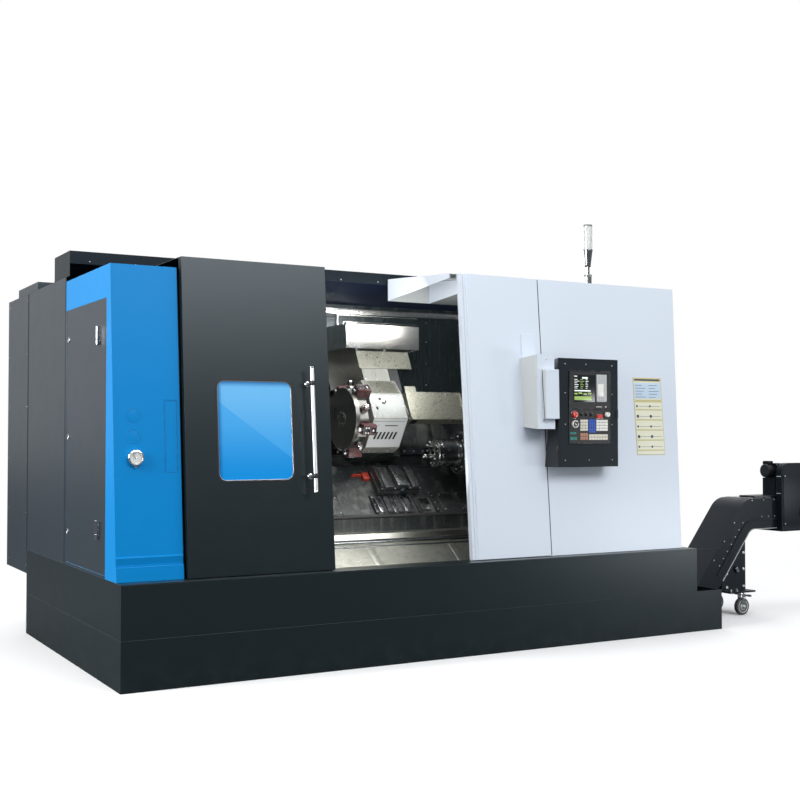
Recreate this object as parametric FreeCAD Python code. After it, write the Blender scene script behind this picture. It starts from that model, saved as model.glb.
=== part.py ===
import FreeCAD, Part
import math
import os

# Slant-bed CNC turning lathe with a turret, a sub-spindle and a chip conveyor.
# Millimetres. While building, X runs along the machine from its left end, Y runs from the front face
# to the back and Z is up from the floor. The pieces are moved by (-BASE_L/2, -BASE_D/2, 0) when they
# are written, so the origin is the middle of the base's underside.

# ---- sizes ----
BASE_L = 4200.0          # lower base, along X
BASE_D = 2185.0          # base, front to back
SKIRT_H = 270.0          # top of the lower base
UPPER_L = 3975.0         # upper base, along X
BASE_H = 560.0           # top of the upper base
BASE_WALL = 6.0          # base plates
FLOOR_T = 8.0            # underside plate of the base
DECK_W = 165.0           # ledge along the base's front top edge
SKIRT_LEDGE = 40.0       # ledge along its other three edges
MOUTH_GAP = 12.0         # round the conveyor where it leaves the base
SHEET = 3.0              # enclosure sheet
LINER = 3.0              # stainless liner sheet
GAP = 0.3                # running gap between pieces that slide or turn
SEAM = 2.0               # joint gap between fixed panels and the sliding doors
SIDE_SEAM = 0.8          # gap round the side door
DOOR_CLEAR = 0.2         # doors clear the base by this much
LEAN = 4.84              # front panels lean back, degrees
FRONT_Y = 60.0           # left door's face at the base's top
BLUE_SET = 33.0          # blue column face behind the left door's face
WHITE_SET = 27.0         # white faces behind the left door's face

COLUMN_W = 370.0         # blue column, along X
COLUMN_TOP = 2259.0
SIDE_SPLIT = 1175.0      # blue side ends and grey side starts
SIDE_TOP = 2287.0
SIDE_DOOR_Y0 = 300.0
SIDE_DOOR_Y1 = 1140.0
SIDE_DOOR_Z0 = 578.0
SIDE_DOOR_Z1 = 2080.0
HINGE_Y = 435.0          # side door's hinge line, at the edge of the fixed stile
HINGE_R = 10.0
HINGE_OUT = 10.5         # hinge line in front of the side's face
HINGE_L = 100.0
HINGE_Z = (815.0, 1882.0)

ROOF_Y0 = 1094.0         # raised roof housing
ROOF_Y1 = 1467.0
ROOF_TOP = 2440.0
ROOF_LIP = 77.0          # front lip of the raised roof housing
ENCL_R = 3916.0          # right end of the enclosure at the base's top
END_FLARE = 70.0         # the right end leans out this much up to the front panel's top

CAB_L = 1400.0           # electrical cabinet
CAB_Y0 = BASE_D
CAB_D = 615.0
CAB_Z0 = 400.0
CAB_Z1 = 2289.0
CAB_WALL = 3.0
CAB_DOOR_T = 22.0
DUCT_Y0 = 1920.0         # cable duct across the roof and the cabinet's top
DUCT_Y1 = 2497.0
DUCT_H = 52.0

LDOOR_X0 = 386.0         # left door
LDOOR_X1 = 1265.0
LDOOR_H = 1766.0         # height along the lean
DOOR_T = 45.0            # depth of the folded door pans
LDOOR_ROOF = 790.0       # roof plate behind the left door's face
LDOOR_ROOF_SHORT = 60.0  # where the right door's canopy closes over it
WINDOW_X0 = 572.0
WINDOW_X1 = 1025.0
WINDOW_Z0 = 522.0        # above the base, along the lean
WINDOW_Z1 = 1084.0
WINDOW_R = 45.0
GLASS_T = 6.0
GLASS_LAP = 16.0
HANDLE_X = 1127.0
HANDLE_R = 12.5
HANDLE_OUT = 68.0
HANDLE_Z0 = 447.0
HANDLE_Z1 = 1160.0
STANDOFF_R = 10.0
STANDOFF_INSET = 92.0

RDOOR_X0 = 2225.0        # right door
EDGE_W = 40.0            # recessed edge profile along its left side
EDGE_SET = 8.0
RDOOR_X1 = 2816.0
RDOOR_H = 1796.0
CANOPY_X0 = 2172.0       # roof tray carried by the right door
CANOPY_Y1 = 1080.0
CANOPY_DEEP = 150.0      # side depth at the back
CANOPY_FRONT = 26.0      # side depth at the front
CANOPY_RISE = 52.0
GRIP_X0 = 2650.0         # lock housing with its pull block on the right door
GRIP_X1 = 2785.0
GRIP_Z0 = 800.0
GRIP_Z1 = 1270.0
GRIP_OUT = 185.0
PULL_X0 = 2690.0
PULL_X1 = 2792.0
PULL_Z0 = 862.0
PULL_Z1 = 1172.0
PULL_OUT = 38.0

DOOR_TRAVEL = 477.5      # each front door
POCKET_H = 1630.0        # fixed panels behind the doors

# control box on the fixed white panel
BOX_X0 = 2803.0
BOX_X1 = 3285.0
BOX_Z0 = 1128.0
BOX_Z1 = 1822.0
BOX_Y = -8.0             # its face
BOX_TAPER = 110.0        # the left flank is cut back by this much at the top
SCREEN_X0 = 2890.0
SCREEN_X1 = 3215.0
SCREEN_Z0 = 1502.0
SCREEN_Z1 = 1740.0
SCREEN_T = 5.0
KEYS_Z0 = 1282.0
KEYS_Z1 = 1492.0
KEYS_T = 4.0
KNOB_GAP = 0.5
ESTOP_X = 2925.0
ESTOP_Z = 1462.0
ESTOP_R = 20.0
ESTOP_STEM_R = 12.0
ESTOP_TRAVEL = 6.0
DIAL_X = 2927.0
DIAL_Z = 1402.0
DIAL_R = 24.0
DIAL_STEM_R = 10.0
FEED_X = 3188.0
FEED_Z = 1465.0
FEED_R = 15.0
FEED_STEM_R = 7.0
CYCLE_X = 3128.0
CYCLE_Z = 1452.0
CYCLE_W = 42.0
CYCLE_H = 24.0
CYCLE_TRAVEL = 3.0

# spindles, bed and slides
AXIS_Y = 850.0           # spindle axis
AXIS_Z = 1210.0
SLANT = 64.0             # upper slide's slope, degrees
BED_X0 = 240.0
BED_X1 = 3700.0
BED_TOE_Y = 780.0
BED_TOE_Z = 800.0
BED_BACK_Y = 1760.0
BED_SINK = 330.0         # slanted bed face behind the spindle axis
BED_S0 = 60.0            # lower and upper end of the slanted face
BED_S1 = 640.0
RAIL_W = 45.0
RAIL_H = 40.0
RAIL_S = (150.0, 520.0)
RAIL_X0 = 1200.0
RAIL_X1 = 3590.0

HEAD_X0 = 420.0          # headstock
HEAD_X1 = 1120.0
NOSE_R = 110.0
NOSE_L = 26.0
SHAFT_R = 60.0
SHAFT_L = 80.0
MAIN_CHUCK_X0 = 1150.0
MAIN_CHUCK_L = 130.0
MAIN_CHUCK_R = 125.0
BORE_R = 33.0
JAW_OUT = 42.0
JAW_TRAVEL = 8.0
JAW_KEY = 18.0
SUB_CHUCK_X0 = 2390.0    # its face, towards the left
SUB_CHUCK_L = 170.0
SUB_CHUCK_R = 97.0
SUB_BORE_R = 24.0
SUB_HOUSE_X0 = 2592.0
SUB_HOUSE_L = 620.0
SUB_HOUSE_R = 145.0

TURRET_X0 = 1913.0       # turret housing
TURRET_X1 = 2170.0
TURRET_S = 255.0         # disc centre, up the slant from the spindle axis
DISC_X0 = 1760.0
DISC_T = 95.0
DISC_R = 205.0
TURRET_SHAFT_R = 70.0
STATIONS = 10
HOLDER_W = 66.0
HOLDER_H = 62.0
TURRET_BACK = -130.0     # back of the turret housing
SLIDE_N0 = -200.0        # underside of the cross slide
SLIDE_X0 = 1930.0
SLIDE_X1 = 2200.0
SLIDE_S0 = 70.0
SLIDE_S1 = 560.0
SADDLE_X0 = 1905.0
SADDLE_X1 = 2260.0
SADDLE_S0 = 75.0
SADDLE_S1 = 600.0
COVER_X1 = 2650.0        # right end of the Z cover
COVER_S0 = 190.0
COVER_S1 = 400.0
COVER_N = 125.0

LOWER_X0 = 1992.0        # lower slide, on the bed's 45 degree face
LOWER_X1 = 2310.0
LOWER_A0 = 180.0
LOWER_A1 = 380.0
LOWER_T = 76.0
LOWER_WAYS = 4
LOWER_WAY_W = 30.0
LOWER_WAY_H = 14.0
LOWER_WAY_A0 = 25.0
LOWER_WAY_A1 = 400.0

XCOVER_X0 = 1860.0       # cover box over the cross slide
XCOVER_X1 = 2430.0
XCOVER_Y = 1100.0
XCOVER_Z0 = 1922.0
XCOVER_Z1 = 2085.0
SEGMENT_N = 74.0         # telescopic cover plates

BACK_Y = 1520.0          # back liner
BACK_Z1 = 2200.0
LINER_Y0 = 300.0
CHUTE_X0 = 1400.0
CHUTE_X1 = 3300.0
LEFT_LINER_X = 1134.0
RIGHT_LINER_X = 3600.0

# chip conveyor
CONV_Y0 = 450.0
CONV_Y1 = 750.0
CONV_LOW = FLOOR_T       # rests on the base's floor
CONV_LOW_T = 200.0
CONV_HIGH = 620.0
CONV_TOP = 850.0
CONV_SLOPE = 52.0
CONV_X0 = 1300.0
CONV_WALL = 4.0
CONV_OUT = 685.0         # upper bend beyond the base, on the upper edge
CONV_UNDER_OUT = 744.0   # the same on the lower edge
CONV_TOP_X = BASE_L + CONV_OUT
CONV_UNDER_X = BASE_L + CONV_UNDER_OUT
CONV_RUN = 330.0         # level run, from the upper bend to the head
CONV_HEAD_X = CONV_TOP_X + CONV_RUN
HEAD_BOX_L = 500.0
MOTOR_IN = 104.0         # drive set in from the head's entry side
HEAD_BOX_Z0 = 597.0
GUARD_T = 55.0           # chain guard on the head's near side
GUARD_Z1 = 1115.0
GUARD_R = 70.0
TOP_BEND_R = 170.0
UNDER_BEND_R = 90.0
LEG_BACK = 235.0         # leg's near edge before the upper bend
LEG_X0 = CONV_TOP_X - LEG_BACK
LEG_L = 250.0
LEG_X1 = LEG_X0 + LEG_L
LEG_PLATE_Z = 165.0
LEG_PLATE_T = 12.0
WHEEL_R = 62.5
WHEEL_W = 32.0
CASTER_Y = (400.0, 660.0)
CASTER_IN = 115.0        # caster from the leg's near edge
CASTER_X = LEG_X0 + CASTER_IN
CASTER_TRAIL = 28.0
AXLE_R = 6.0

BEACON_X = 3630.0
BEACON_Y = 730.0
BEACON_Z0 = 2665.0
BEACON_Z1 = 2850.0
BEACON_R = 35.0
BEACON_CONE = 118.0      # height of the tapered foot under the lens
BEACON_COLLAR = 137.0
GAUGE_X = 115.0
GAUGE_Z = 1212.0
GAUGE_R = 42.0
GAUGE_T = 24.0
# ---- end of sizes ----

V = FreeCAD.Vector
X_AXIS = V(1, 0, 0)
Y_AXIS = V(0, 1, 0)
Z_AXIS = V(0, 0, 1)
DISC_X1 = DISC_X0 + DISC_T
LEAN_RAD = math.radians(LEAN)
WHITE_TOP = BASE_H + RDOOR_H * math.cos(LEAN_RAD)
DOOR_LIFT = DOOR_CLEAR + DOOR_T * math.sin(LEAN_RAD)


def block(x0, x1, y0, y1, z0, z1):
    return Part.makeBox(x1 - x0, y1 - y0, z1 - z0, V(x0, y0, z0))


def prism_x(outline, x0, x1):
    """Extrude a (y, z) outline from x0 to x1."""
    corners = [V(x0, y, z) for y, z in outline]
    face = Part.Face(Part.makePolygon(corners + corners[:1]))
    return face.extrude(V(x1 - x0, 0, 0))


def prism_y(outline, y0, y1):
    """Extrude an (x, z) outline from y0 to y1."""
    corners = [V(x, y0, z) for x, z in outline]
    face = Part.Face(Part.makePolygon(corners + corners[:1]))
    return face.extrude(V(0, y1 - y0, 0))


def rod_x(radius, x0, x1, y=AXIS_Y, z=AXIS_Z):
    return Part.makeCylinder(radius, x1 - x0, V(x0, y, z), X_AXIS)


def rod_y(radius, y0, y1, x, z):
    return Part.makeCylinder(radius, y1 - y0, V(x, y0, z), Y_AXIS)


def rod_z(radius, z0, z1, x, y):
    return Part.makeCylinder(radius, z1 - z0, V(x, y, z0), Z_AXIS)


def rounded_plate(x0, x1, y0, y1, z0, z1, radius):
    """A plate across Y with its four upright corners in the XZ plane rounded."""
    plate = block(x0, x1, y0, y1, z0, z1)
    corners = [e for e in plate.Edges if abs(e.tangentAt(e.FirstParameter).y) > 0.9]
    return plate.makeFillet(radius, corners)


def round_top(box, radius):
    """Round a box's two upper edges that run along Y."""
    top = max(v.Point.z for v in box.Vertexes)
    edges = [e for e in box.Edges if abs(e.tangentAt(e.FirstParameter).y) > 0.9 and e.CenterOfMass.z > top - 1]
    return box.makeFillet(radius, edges)


def folded(path, thick):
    """Outline of a sheet folded along a (y, z) path; the thickness is on the left of the path."""
    inner = []
    for i, (y, z) in enumerate(path):
        before = path[max(i - 1, 0)]
        after = path[min(i + 1, len(path) - 1)]
        normals = []
        for a, b in ((before, (y, z)), ((y, z), after)):
            run = math.hypot(b[0] - a[0], b[1] - a[1])
            if run > 0:
                normals.append((-(b[1] - a[1]) / run, (b[0] - a[0]) / run))
        ny = sum(n[0] for n in normals) / len(normals)
        nz = sum(n[1] for n in normals) / len(normals)
        scale = thick / (ny * ny + nz * nz)
        inner.append((y + ny * scale, z + nz * scale))
    return list(path) + inner[::-1]


def lean_back(shape, set_back=0.0):
    """Place a shape drawn with y behind the leaning front plane and z above the base."""
    shape = shape.copy()
    shape.rotate(V(0, 0, 0), X_AXIS, -LEAN)
    shape.translate(V(0, FRONT_Y + set_back, BASE_H))
    return shape


def front_y(z, set_back=0.0):
    return FRONT_Y + set_back + (z - BASE_H) * math.tan(LEAN_RAD)


def slant(s, n):
    """(y, z) of a point s up the slant and n in front of the spindle axis."""
    a = math.radians(SLANT)
    return (AXIS_Y + s * math.cos(a) - n * math.sin(a), AXIS_Z + s * math.sin(a) + n * math.cos(a))


def slant_bar(s0, s1, n0, n1, x0, x1):
    return prism_x([slant(s0, n0), slant(s1, n0), slant(s1, n1), slant(s0, n1)], x0, x1)


def low_slope(along, out):
    """(y, z) of a point up the bed's lower 45 degree face from its toe and out from it."""
    r = math.sqrt(0.5)
    return (BED_TOE_Y + (along - out) * r, BED_TOE_Z + (along + out) * r)


def low_bar(a0, a1, o0, o1, x0, x1):
    corners = [low_slope(a0, o0), low_slope(a1, o0), low_slope(a1, o1), low_slope(a0, o1)]
    return prism_x(corners, x0, x1)


def join(pieces):
    whole = pieces[0].multiFuse(pieces[1:])
    return whole.removeSplitter()


# ---- base ----

def base_tray():
    w = BASE_WALL
    tray = block(0, BASE_L, 0, BASE_D, 0, SKIRT_H)
    inside = block(w, BASE_L - w, w, BASE_D - w, FLOOR_T, SKIRT_H + 1)
    mouth = block(BASE_L - 2 * w, BASE_L + 1, CONV_Y0 - MOUTH_GAP, CONV_Y1 + MOUTH_GAP,
                  FLOOR_T, CONV_LOW + CONV_LOW_T + MOUTH_GAP)
    return tray.cut(inside).cut(mouth)


def upper_skirt():
    w = BASE_WALL
    skirt = block(0, UPPER_L, 0, BASE_D, SKIRT_H, BASE_H)
    inside = block(w, UPPER_L - w, w, BASE_D - w, SKIRT_H - 1, BASE_H - w)
    open_top = block(SKIRT_LEDGE, UPPER_L - SKIRT_LEDGE, DECK_W, BASE_D - SKIRT_LEDGE, SKIRT_H, BASE_H + 1)
    return skirt.cut(inside).cut(open_top)


def bed_surface():
    """Top of the bed's section, from its front toe to the top of the slanted face."""
    ledge_z = slant(BED_S0, -BED_SINK)[1]
    slope_end = BED_TOE_Y + (ledge_z - BED_TOE_Z)
    return [(BED_TOE_Y, BED_TOE_Z - 100.0), (BED_TOE_Y, BED_TOE_Z), (slope_end, ledge_z),
            slant(BED_S0, -BED_SINK), slant(BED_S1, -BED_SINK)]


def bed_casting():
    """Cast slant bed, cored out from below between its end walls and two webs."""
    foot_y = BED_TOE_Y + 45.0
    top_z = slant(BED_S1, -BED_SINK)[1]
    outline = [(foot_y, FLOOR_T), (foot_y, BED_TOE_Z - 100.0)] + bed_surface()
    outline += [(BED_BACK_Y, top_z), (BED_BACK_Y, FLOOR_T)]
    bed = prism_x(outline, BED_X0, BED_X1)
    wall = 60.0
    bays = 3
    bay = (BED_X1 - BED_X0 - wall * (bays + 1)) / bays
    core_top = slant(BED_S0, -BED_SINK)[1] - 2 * wall
    core = [(foot_y + wall, FLOOR_T - 1), (foot_y + wall, BED_TOE_Z - 2 * wall),
            (BED_BACK_Y - wall, core_top), (BED_BACK_Y - wall, FLOOR_T - 1)]
    for i in range(bays):
        start = BED_X0 + wall + i * (bay + wall)
        bed = bed.cut(prism_x(core, start, start + bay))
    return bed


def bed_rails():
    """Two long guide rails on the slanted face and four short ones under the lower slide."""
    rails = []
    for s in RAIL_S:
        foot, top = -BED_SINK, -BED_SINK + RAIL_H
        rails.append(slant_bar(s - RAIL_W / 2, s + RAIL_W / 2, foot, top, RAIL_X0, RAIL_X1))
    pitch = (LOWER_X1 - LOWER_X0 - 3 * LOWER_WAY_W) / (LOWER_WAYS - 1)
    for i in range(LOWER_WAYS):
        x = LOWER_X0 + LOWER_WAY_W + i * pitch
        rails.append(low_bar(LOWER_WAY_A0, LOWER_WAY_A1, 0, LOWER_WAY_H, x, x + LOWER_WAY_W))
    return Part.makeCompound(rails)


def chip_pan():
    """Folded trough in front of the bed: rear lip, long far slope, floor and front upstand."""
    lip_z = BED_TOE_Z - 97.0
    floor_z = 420.0
    front = DECK_W + 20.0
    path = [(BED_TOE_Y, lip_z), (640.0, lip_z), (632.0, lip_z - 33), (front + 100, floor_z),
            (front, floor_z), (front, BASE_H - BASE_WALL), (DECK_W - 20, BASE_H - BASE_WALL)]
    pan = prism_x(folded(path, LINER), LEFT_LINER_X + LINER, RIGHT_LINER_X)
    chute = block(CHUTE_X0, CHUTE_X1, front + 15, front + 85, floor_z - 30, floor_z + 1)
    return pan.cut(chute)


# ---- enclosure ----

def left_column_cover():
    """Folded blue cover: leaning front, side with a doorway, top plate."""
    height = (COLUMN_TOP - BASE_H) / math.cos(LEAN_RAD)
    front = lean_back(block(0, COLUMN_W, 0, SHEET, 0, height), BLUE_SET)
    step = lean_back(block(0, COLUMN_W, -8, 0, 0, 78), BLUE_SET)
    y_low = front_y(BASE_H, BLUE_SET)
    y_top = front_y(COLUMN_TOP, BLUE_SET)
    outline = [(y_low, BASE_H), (SIDE_SPLIT, BASE_H), (SIDE_SPLIT, COLUMN_TOP), (y_top, COLUMN_TOP)]
    side = prism_x(outline, 0, SHEET)
    top = block(0, COLUMN_W, y_top, SIDE_SPLIT, COLUMN_TOP - SHEET, COLUMN_TOP)
    doorway = block(-1, SHEET + 1, SIDE_DOOR_Y0, SIDE_DOOR_Y1, SIDE_DOOR_Z0, SIDE_DOOR_Z1)
    below = block(-10, COLUMN_W + 10, -200, 400, BASE_H - 60, BASE_H)
    cover = join([front, step, side, top]).cut(doorway).cut(below)
    hatch = lean_back(block(280.0, 352.0, -1.0, 1.0, 575.0, 968.0), BLUE_SET)
    hatch_in = lean_back(block(283.0, 349.0, -2.0, 2.0, 578.0, 965.0), BLUE_SET)
    return cover.cut(hatch.cut(hatch_in))


def side_door():
    """Flat leaf with a stiffening frame folded round its inner side."""

    def leaf(x0, x1, inset):
        return block(x0, x1, HINGE_Y + inset, SIDE_DOOR_Y1 - inset, SIDE_DOOR_Z0 + inset, SIDE_DOOR_Z1 - inset)

    frame = leaf(SHEET, 22, 24).cut(leaf(SHEET, 23, 24 + SHEET))
    return join([leaf(0, SHEET, SIDE_SEAM), frame])


def side_door_hinges():
    """Fixed stile beside the side door, with two hinge barrels on its edge."""
    z0, z1 = SIDE_DOOR_Z0 + SIDE_SEAM, SIDE_DOOR_Z1 - SIDE_SEAM
    pieces = [block(0, SHEET, SIDE_DOOR_Y0 + SIDE_SEAM, HINGE_Y, z0, z1)]
    half = HINGE_L / 2
    for z in HINGE_Z:
        pieces.append(rod_z(HINGE_R, z - half, z + half, -HINGE_OUT, HINGE_Y))
        pieces.append(block(-HINGE_OUT, 0, HINGE_Y - 6, HINGE_Y - 1, z - half + 2, z + half - 2))
        pieces.append(block(-3, 0, HINGE_Y - 32, HINGE_Y - 1, z - half + 2, z + half - 2))
    return join(pieces)


def left_side_panel():
    return block(0, SHEET, SIDE_SPLIT + 1, BASE_D, BASE_H, SIDE_TOP)


def rear_panel():
    return block(SHEET, ENCL_R - 20, BASE_D - SHEET, BASE_D, BASE_H, SIDE_TOP - SHEET)


def pocket_panels():
    """Fixed panels behind the two front doors, which cover what the closed doors leave open."""
    y0 = DOOR_T + 20
    left = block(COLUMN_W + 2, LDOOR_X0 + DOOR_TRAVEL + 30, y0, y0 + SHEET, 0, POCKET_H)
    right = block(RDOOR_X1 - DOOR_TRAVEL - 30, RDOOR_X1 + 40, y0, y0 + SHEET, 0, POCKET_H)
    below = block(0, BASE_L, 0, BASE_D, 0, BASE_H)
    return Part.makeCompound([lean_back(left).cut(below), lean_back(right, WHITE_SET).cut(below)])


def end_x(z):
    return ENCL_R + END_FLARE * (z - BASE_H) / (WHITE_TOP - BASE_H)


def right_front_panel():
    """White front with its roof, folded from one sheet; its right edge follows the flared end."""
    x0 = RDOOR_X1 + SEAM
    face = prism_y([(x0, 0), (ENCL_R, 0), (ENCL_R + END_FLARE, RDOOR_H), (x0, RDOOR_H)], 0, SHEET)
    edge = block(x0, x0 + SHEET, SHEET, DOOR_T - 5, 0, RDOOR_H)
    y_top = front_y(WHITE_TOP, WHITE_SET)
    roof = block(x0, ENCL_R + END_FLARE, y_top, ROOF_Y0 - 1, WHITE_TOP - SHEET, WHITE_TOP)
    lip = block(x0, ENCL_R + END_FLARE, ROOF_Y0 - 1 - SHEET, ROOF_Y0 - 1, WHITE_TOP - 60, WHITE_TOP)
    panel = join([lean_back(face, WHITE_SET), lean_back(edge, WHITE_SET), roof, lip])
    return panel.cut(block(x0 - 50, BASE_L, -200, 400, BASE_H - 60, BASE_H))


def right_end_panel():
    top_x = end_x(SIDE_TOP)
    outer = [(ENCL_R - SHEET, BASE_H), (ENCL_R, BASE_H), (top_x, SIDE_TOP), (top_x - SHEET, SIDE_TOP)]
    end = prism_y(outer, 0, BASE_D)
    ahead = lean_back(block(RDOOR_X1, BASE_L, -400, SHEET + 0.5, -100, RDOOR_H + 100), WHITE_SET)
    return end.cut(ahead)


def roof_housing():
    """Raised roof along the machine, folded from one sheet, with end caps."""
    step_z = SIDE_TOP + SHEET
    path = [(BASE_D, step_z), (ROOF_Y1, step_z), (ROOF_Y1, ROOF_TOP), (ROOF_Y0, ROOF_TOP),
            (ROOF_Y0, ROOF_TOP - ROOF_LIP)]
    sheet = prism_x(folded(path, SHEET), 0, ENCL_R)
    caps = [block(x, x + SHEET, ROOF_Y0 + SHEET, ROOF_Y1 - SHEET, SIDE_TOP, ROOF_TOP - SHEET)
            for x in (0, ENCL_R - SHEET)]
    return join([sheet] + caps)


def electrical_cabinet():
    """Cabinet of five plates, open at the back for its door, and the cable duct on its top."""
    w = CAB_WALL
    y1 = CAB_Y0 + CAB_D
    plates = [block(0, CAB_L, CAB_Y0, CAB_Y0 + w, CAB_Z0, CAB_Z1),
              block(0, w, CAB_Y0 + w, y1, CAB_Z0, CAB_Z1),
              block(CAB_L - w, CAB_L, CAB_Y0 + w, y1, CAB_Z0, CAB_Z1),
              block(w, CAB_L - w, CAB_Y0 + w, y1, CAB_Z0, CAB_Z0 + w),
              block(w, CAB_L - w, CAB_Y0 + w, y1, CAB_Z1 - w, CAB_Z1)]
    z0 = SIDE_TOP + SHEET
    duct = block(0, CAB_L, DUCT_Y0, DUCT_Y1, z0, z0 + DUCT_H)
    duct = duct.cut(block(w, CAB_L - w, DUCT_Y0 + w, DUCT_Y1 - w, z0 - 1, z0 + DUCT_H - w))
    return Part.makeCompound(plates + [duct])


def cabinet_door():
    y0 = CAB_Y0 + CAB_D + GAP
    w = SHEET
    pan = block(0, CAB_L, y0, y0 + CAB_DOOR_T, CAB_Z0, CAB_Z1)
    return pan.cut(block(w, CAB_L - w, y0 - 1, y0 + CAB_DOOR_T - w, CAB_Z0 + w, CAB_Z1 - w))


def end_liner(x):
    roof_z = SIDE_TOP - 57.0
    outline = [(LINER_Y0, BED_TOE_Z - 100)] + bed_surface()
    bed_top = bed_surface()[-1][1]
    outline += [(BACK_Y, bed_top), (BACK_Y, roof_z), (LINER_Y0 + 100, roof_z)]
    return prism_x(outline, x, x + LINER)


def liner_panels():
    """Back wall, both end walls and the sloping header."""
    x0 = LEFT_LINER_X + LINER
    bed_top = bed_surface()[-1][1]
    back = block(x0, RIGHT_LINER_X, BACK_Y, BACK_Y + LINER, bed_top, BACK_Z1)
    left = end_liner(LEFT_LINER_X).cut(rod_x(NOSE_R + 10, LEFT_LINER_X - 5, x0 + 5))
    right = end_liner(RIGHT_LINER_X)
    lip_y = ROOF_Y0 + SHEET
    path = [(lip_y, ROOF_TOP - 40), (lip_y, ROOF_TOP - ROOF_LIP), (BACK_Y - LINER, BACK_Z1 + 60),
            (BACK_Y - LINER, BACK_Z1 - 30)]
    header = prism_x(folded(path, LINER), x0, RIGHT_LINER_X)
    return Part.makeCompound([back, left, right, header])


# ---- front doors ----

def door_pan(x0, x1, height):
    """Folded pan, open at the back, drawn on the leaning front plane."""
    pan = block(x0, x1, 0, DOOR_T, DOOR_LIFT, height)
    return pan.cut(block(x0 + SHEET, x1 - SHEET, SHEET, DOOR_T + 1, DOOR_LIFT + SHEET, height - SHEET))


def left_door():
    """Leaning folded pan with a window opening, and the roof plate that slides with it."""
    pan = door_pan(LDOOR_X0, LDOOR_X1, LDOOR_H)
    hole = rounded_plate(WINDOW_X0, WINDOW_X1, -1, SHEET + 1, WINDOW_Z0, WINDOW_Z1, WINDOW_R)
    top = BASE_H + LDOOR_H * math.cos(LEAN_RAD)
    y_back = front_y(top) + DOOR_T
    roof_x1 = LDOOR_X1 - LDOOR_ROOF_SHORT
    roof = block(LDOOR_X0, roof_x1, y_back - DOOR_T / 2, y_back + LDOOR_ROOF, top - SHEET, top)
    ahead = lean_back(block(0, BASE_L, -300, SHEET, 0, 3000))
    return join([lean_back(pan.cut(hole)), roof.cut(ahead)])


def left_door_window():
    glass = rounded_plate(WINDOW_X0 - GLASS_LAP, WINDOW_X1 + GLASS_LAP, SHEET, SHEET + GLASS_T,
                          WINDOW_Z0 - GLASS_LAP, WINDOW_Z1 + GLASS_LAP, WINDOW_R)
    return lean_back(glass)


def left_door_handle():
    bar = rod_z(HANDLE_R, HANDLE_Z0, HANDLE_Z1, HANDLE_X, -HANDLE_OUT)
    posts = [rod_y(STANDOFF_R, -HANDLE_OUT, 0, HANDLE_X, z)
             for z in (HANDLE_Z0 + STANDOFF_INSET, HANDLE_Z1 - STANDOFF_INSET)]
    return lean_back(join([bar] + posts))


def right_door():
    """Folded pan with a recessed edge profile and a flat cover plate above the lock housing."""
    face_x = RDOOR_X0 + EDGE_W
    pan = door_pan(face_x, RDOOR_X1, RDOOR_H)
    edge = block(RDOOR_X0, face_x, EDGE_SET, DOOR_T, DOOR_LIFT, RDOOR_H)
    plate = block(GRIP_X0 + 15, GRIP_X1 - 8, -2, 0, GRIP_Z1 + 4, GRIP_Z1 + 160)
    return lean_back(join([pan, edge, plate]), WHITE_SET)


def right_door_canopy():
    """Shallow upturned tray that roofs the opening and slides with the right door."""
    y0 = front_y(WHITE_TOP, WHITE_SET) + 20
    z0 = WHITE_TOP
    z1 = WHITE_TOP + CANOPY_RISE
    outer = [(y0, z0 - CANOPY_FRONT), (CANOPY_Y1, z1 - CANOPY_DEEP), (CANOPY_Y1, z1), (y0, z0)]
    inner = [(y0 - 1, z0 - CANOPY_FRONT - 9), (CANOPY_Y1 - SHEET, z1 - CANOPY_DEEP - 9),
             (CANOPY_Y1 - SHEET, z1 - SHEET), (y0 - 1, z0 - SHEET)]
    full = prism_x(outer, CANOPY_X0, RDOOR_X1)
    tray = full.cut(prism_x(inner, CANOPY_X0 + SHEET, RDOOR_X1 - SHEET))
    duct = block(CANOPY_X0 + 330, RDOOR_X1 - 40, 600, CANOPY_Y1, z0 - 110, z1).common(full)
    door_space = lean_back(block(0, BASE_L, -400, DOOR_T + GAP, 0, 3000), WHITE_SET)
    return join([tray, duct]).cut(door_space)


def right_door_grip():
    """Lock housing with a slanted underside and the pull block on its face."""
    outline = [(0, GRIP_Z0 + 26), (0, GRIP_Z1), (-GRIP_OUT, GRIP_Z1), (-GRIP_OUT + 32, GRIP_Z0)]
    housing = prism_x(outline, GRIP_X0, GRIP_X1)
    pull_y = -GRIP_OUT + 8
    pull_outline = [(pull_y, PULL_Z1), (pull_y - PULL_OUT, PULL_Z1), (pull_y - PULL_OUT + 20, PULL_Z0),
                    (pull_y + 24, PULL_Z0)]
    pull = prism_x(pull_outline, PULL_X0, PULL_X1)
    return lean_back(join([housing, pull]), WHITE_SET)


# ---- control box ----

def tetrahedron(a, b, c, d):
    faces = []
    for corners in ((a, b, c), (a, b, d), (a, c, d), (b, c, d)):
        faces.append(Part.Face(Part.makePolygon(list(corners) + [corners[0]])))
    return Part.makeSolid(Part.makeShell(faces))


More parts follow.
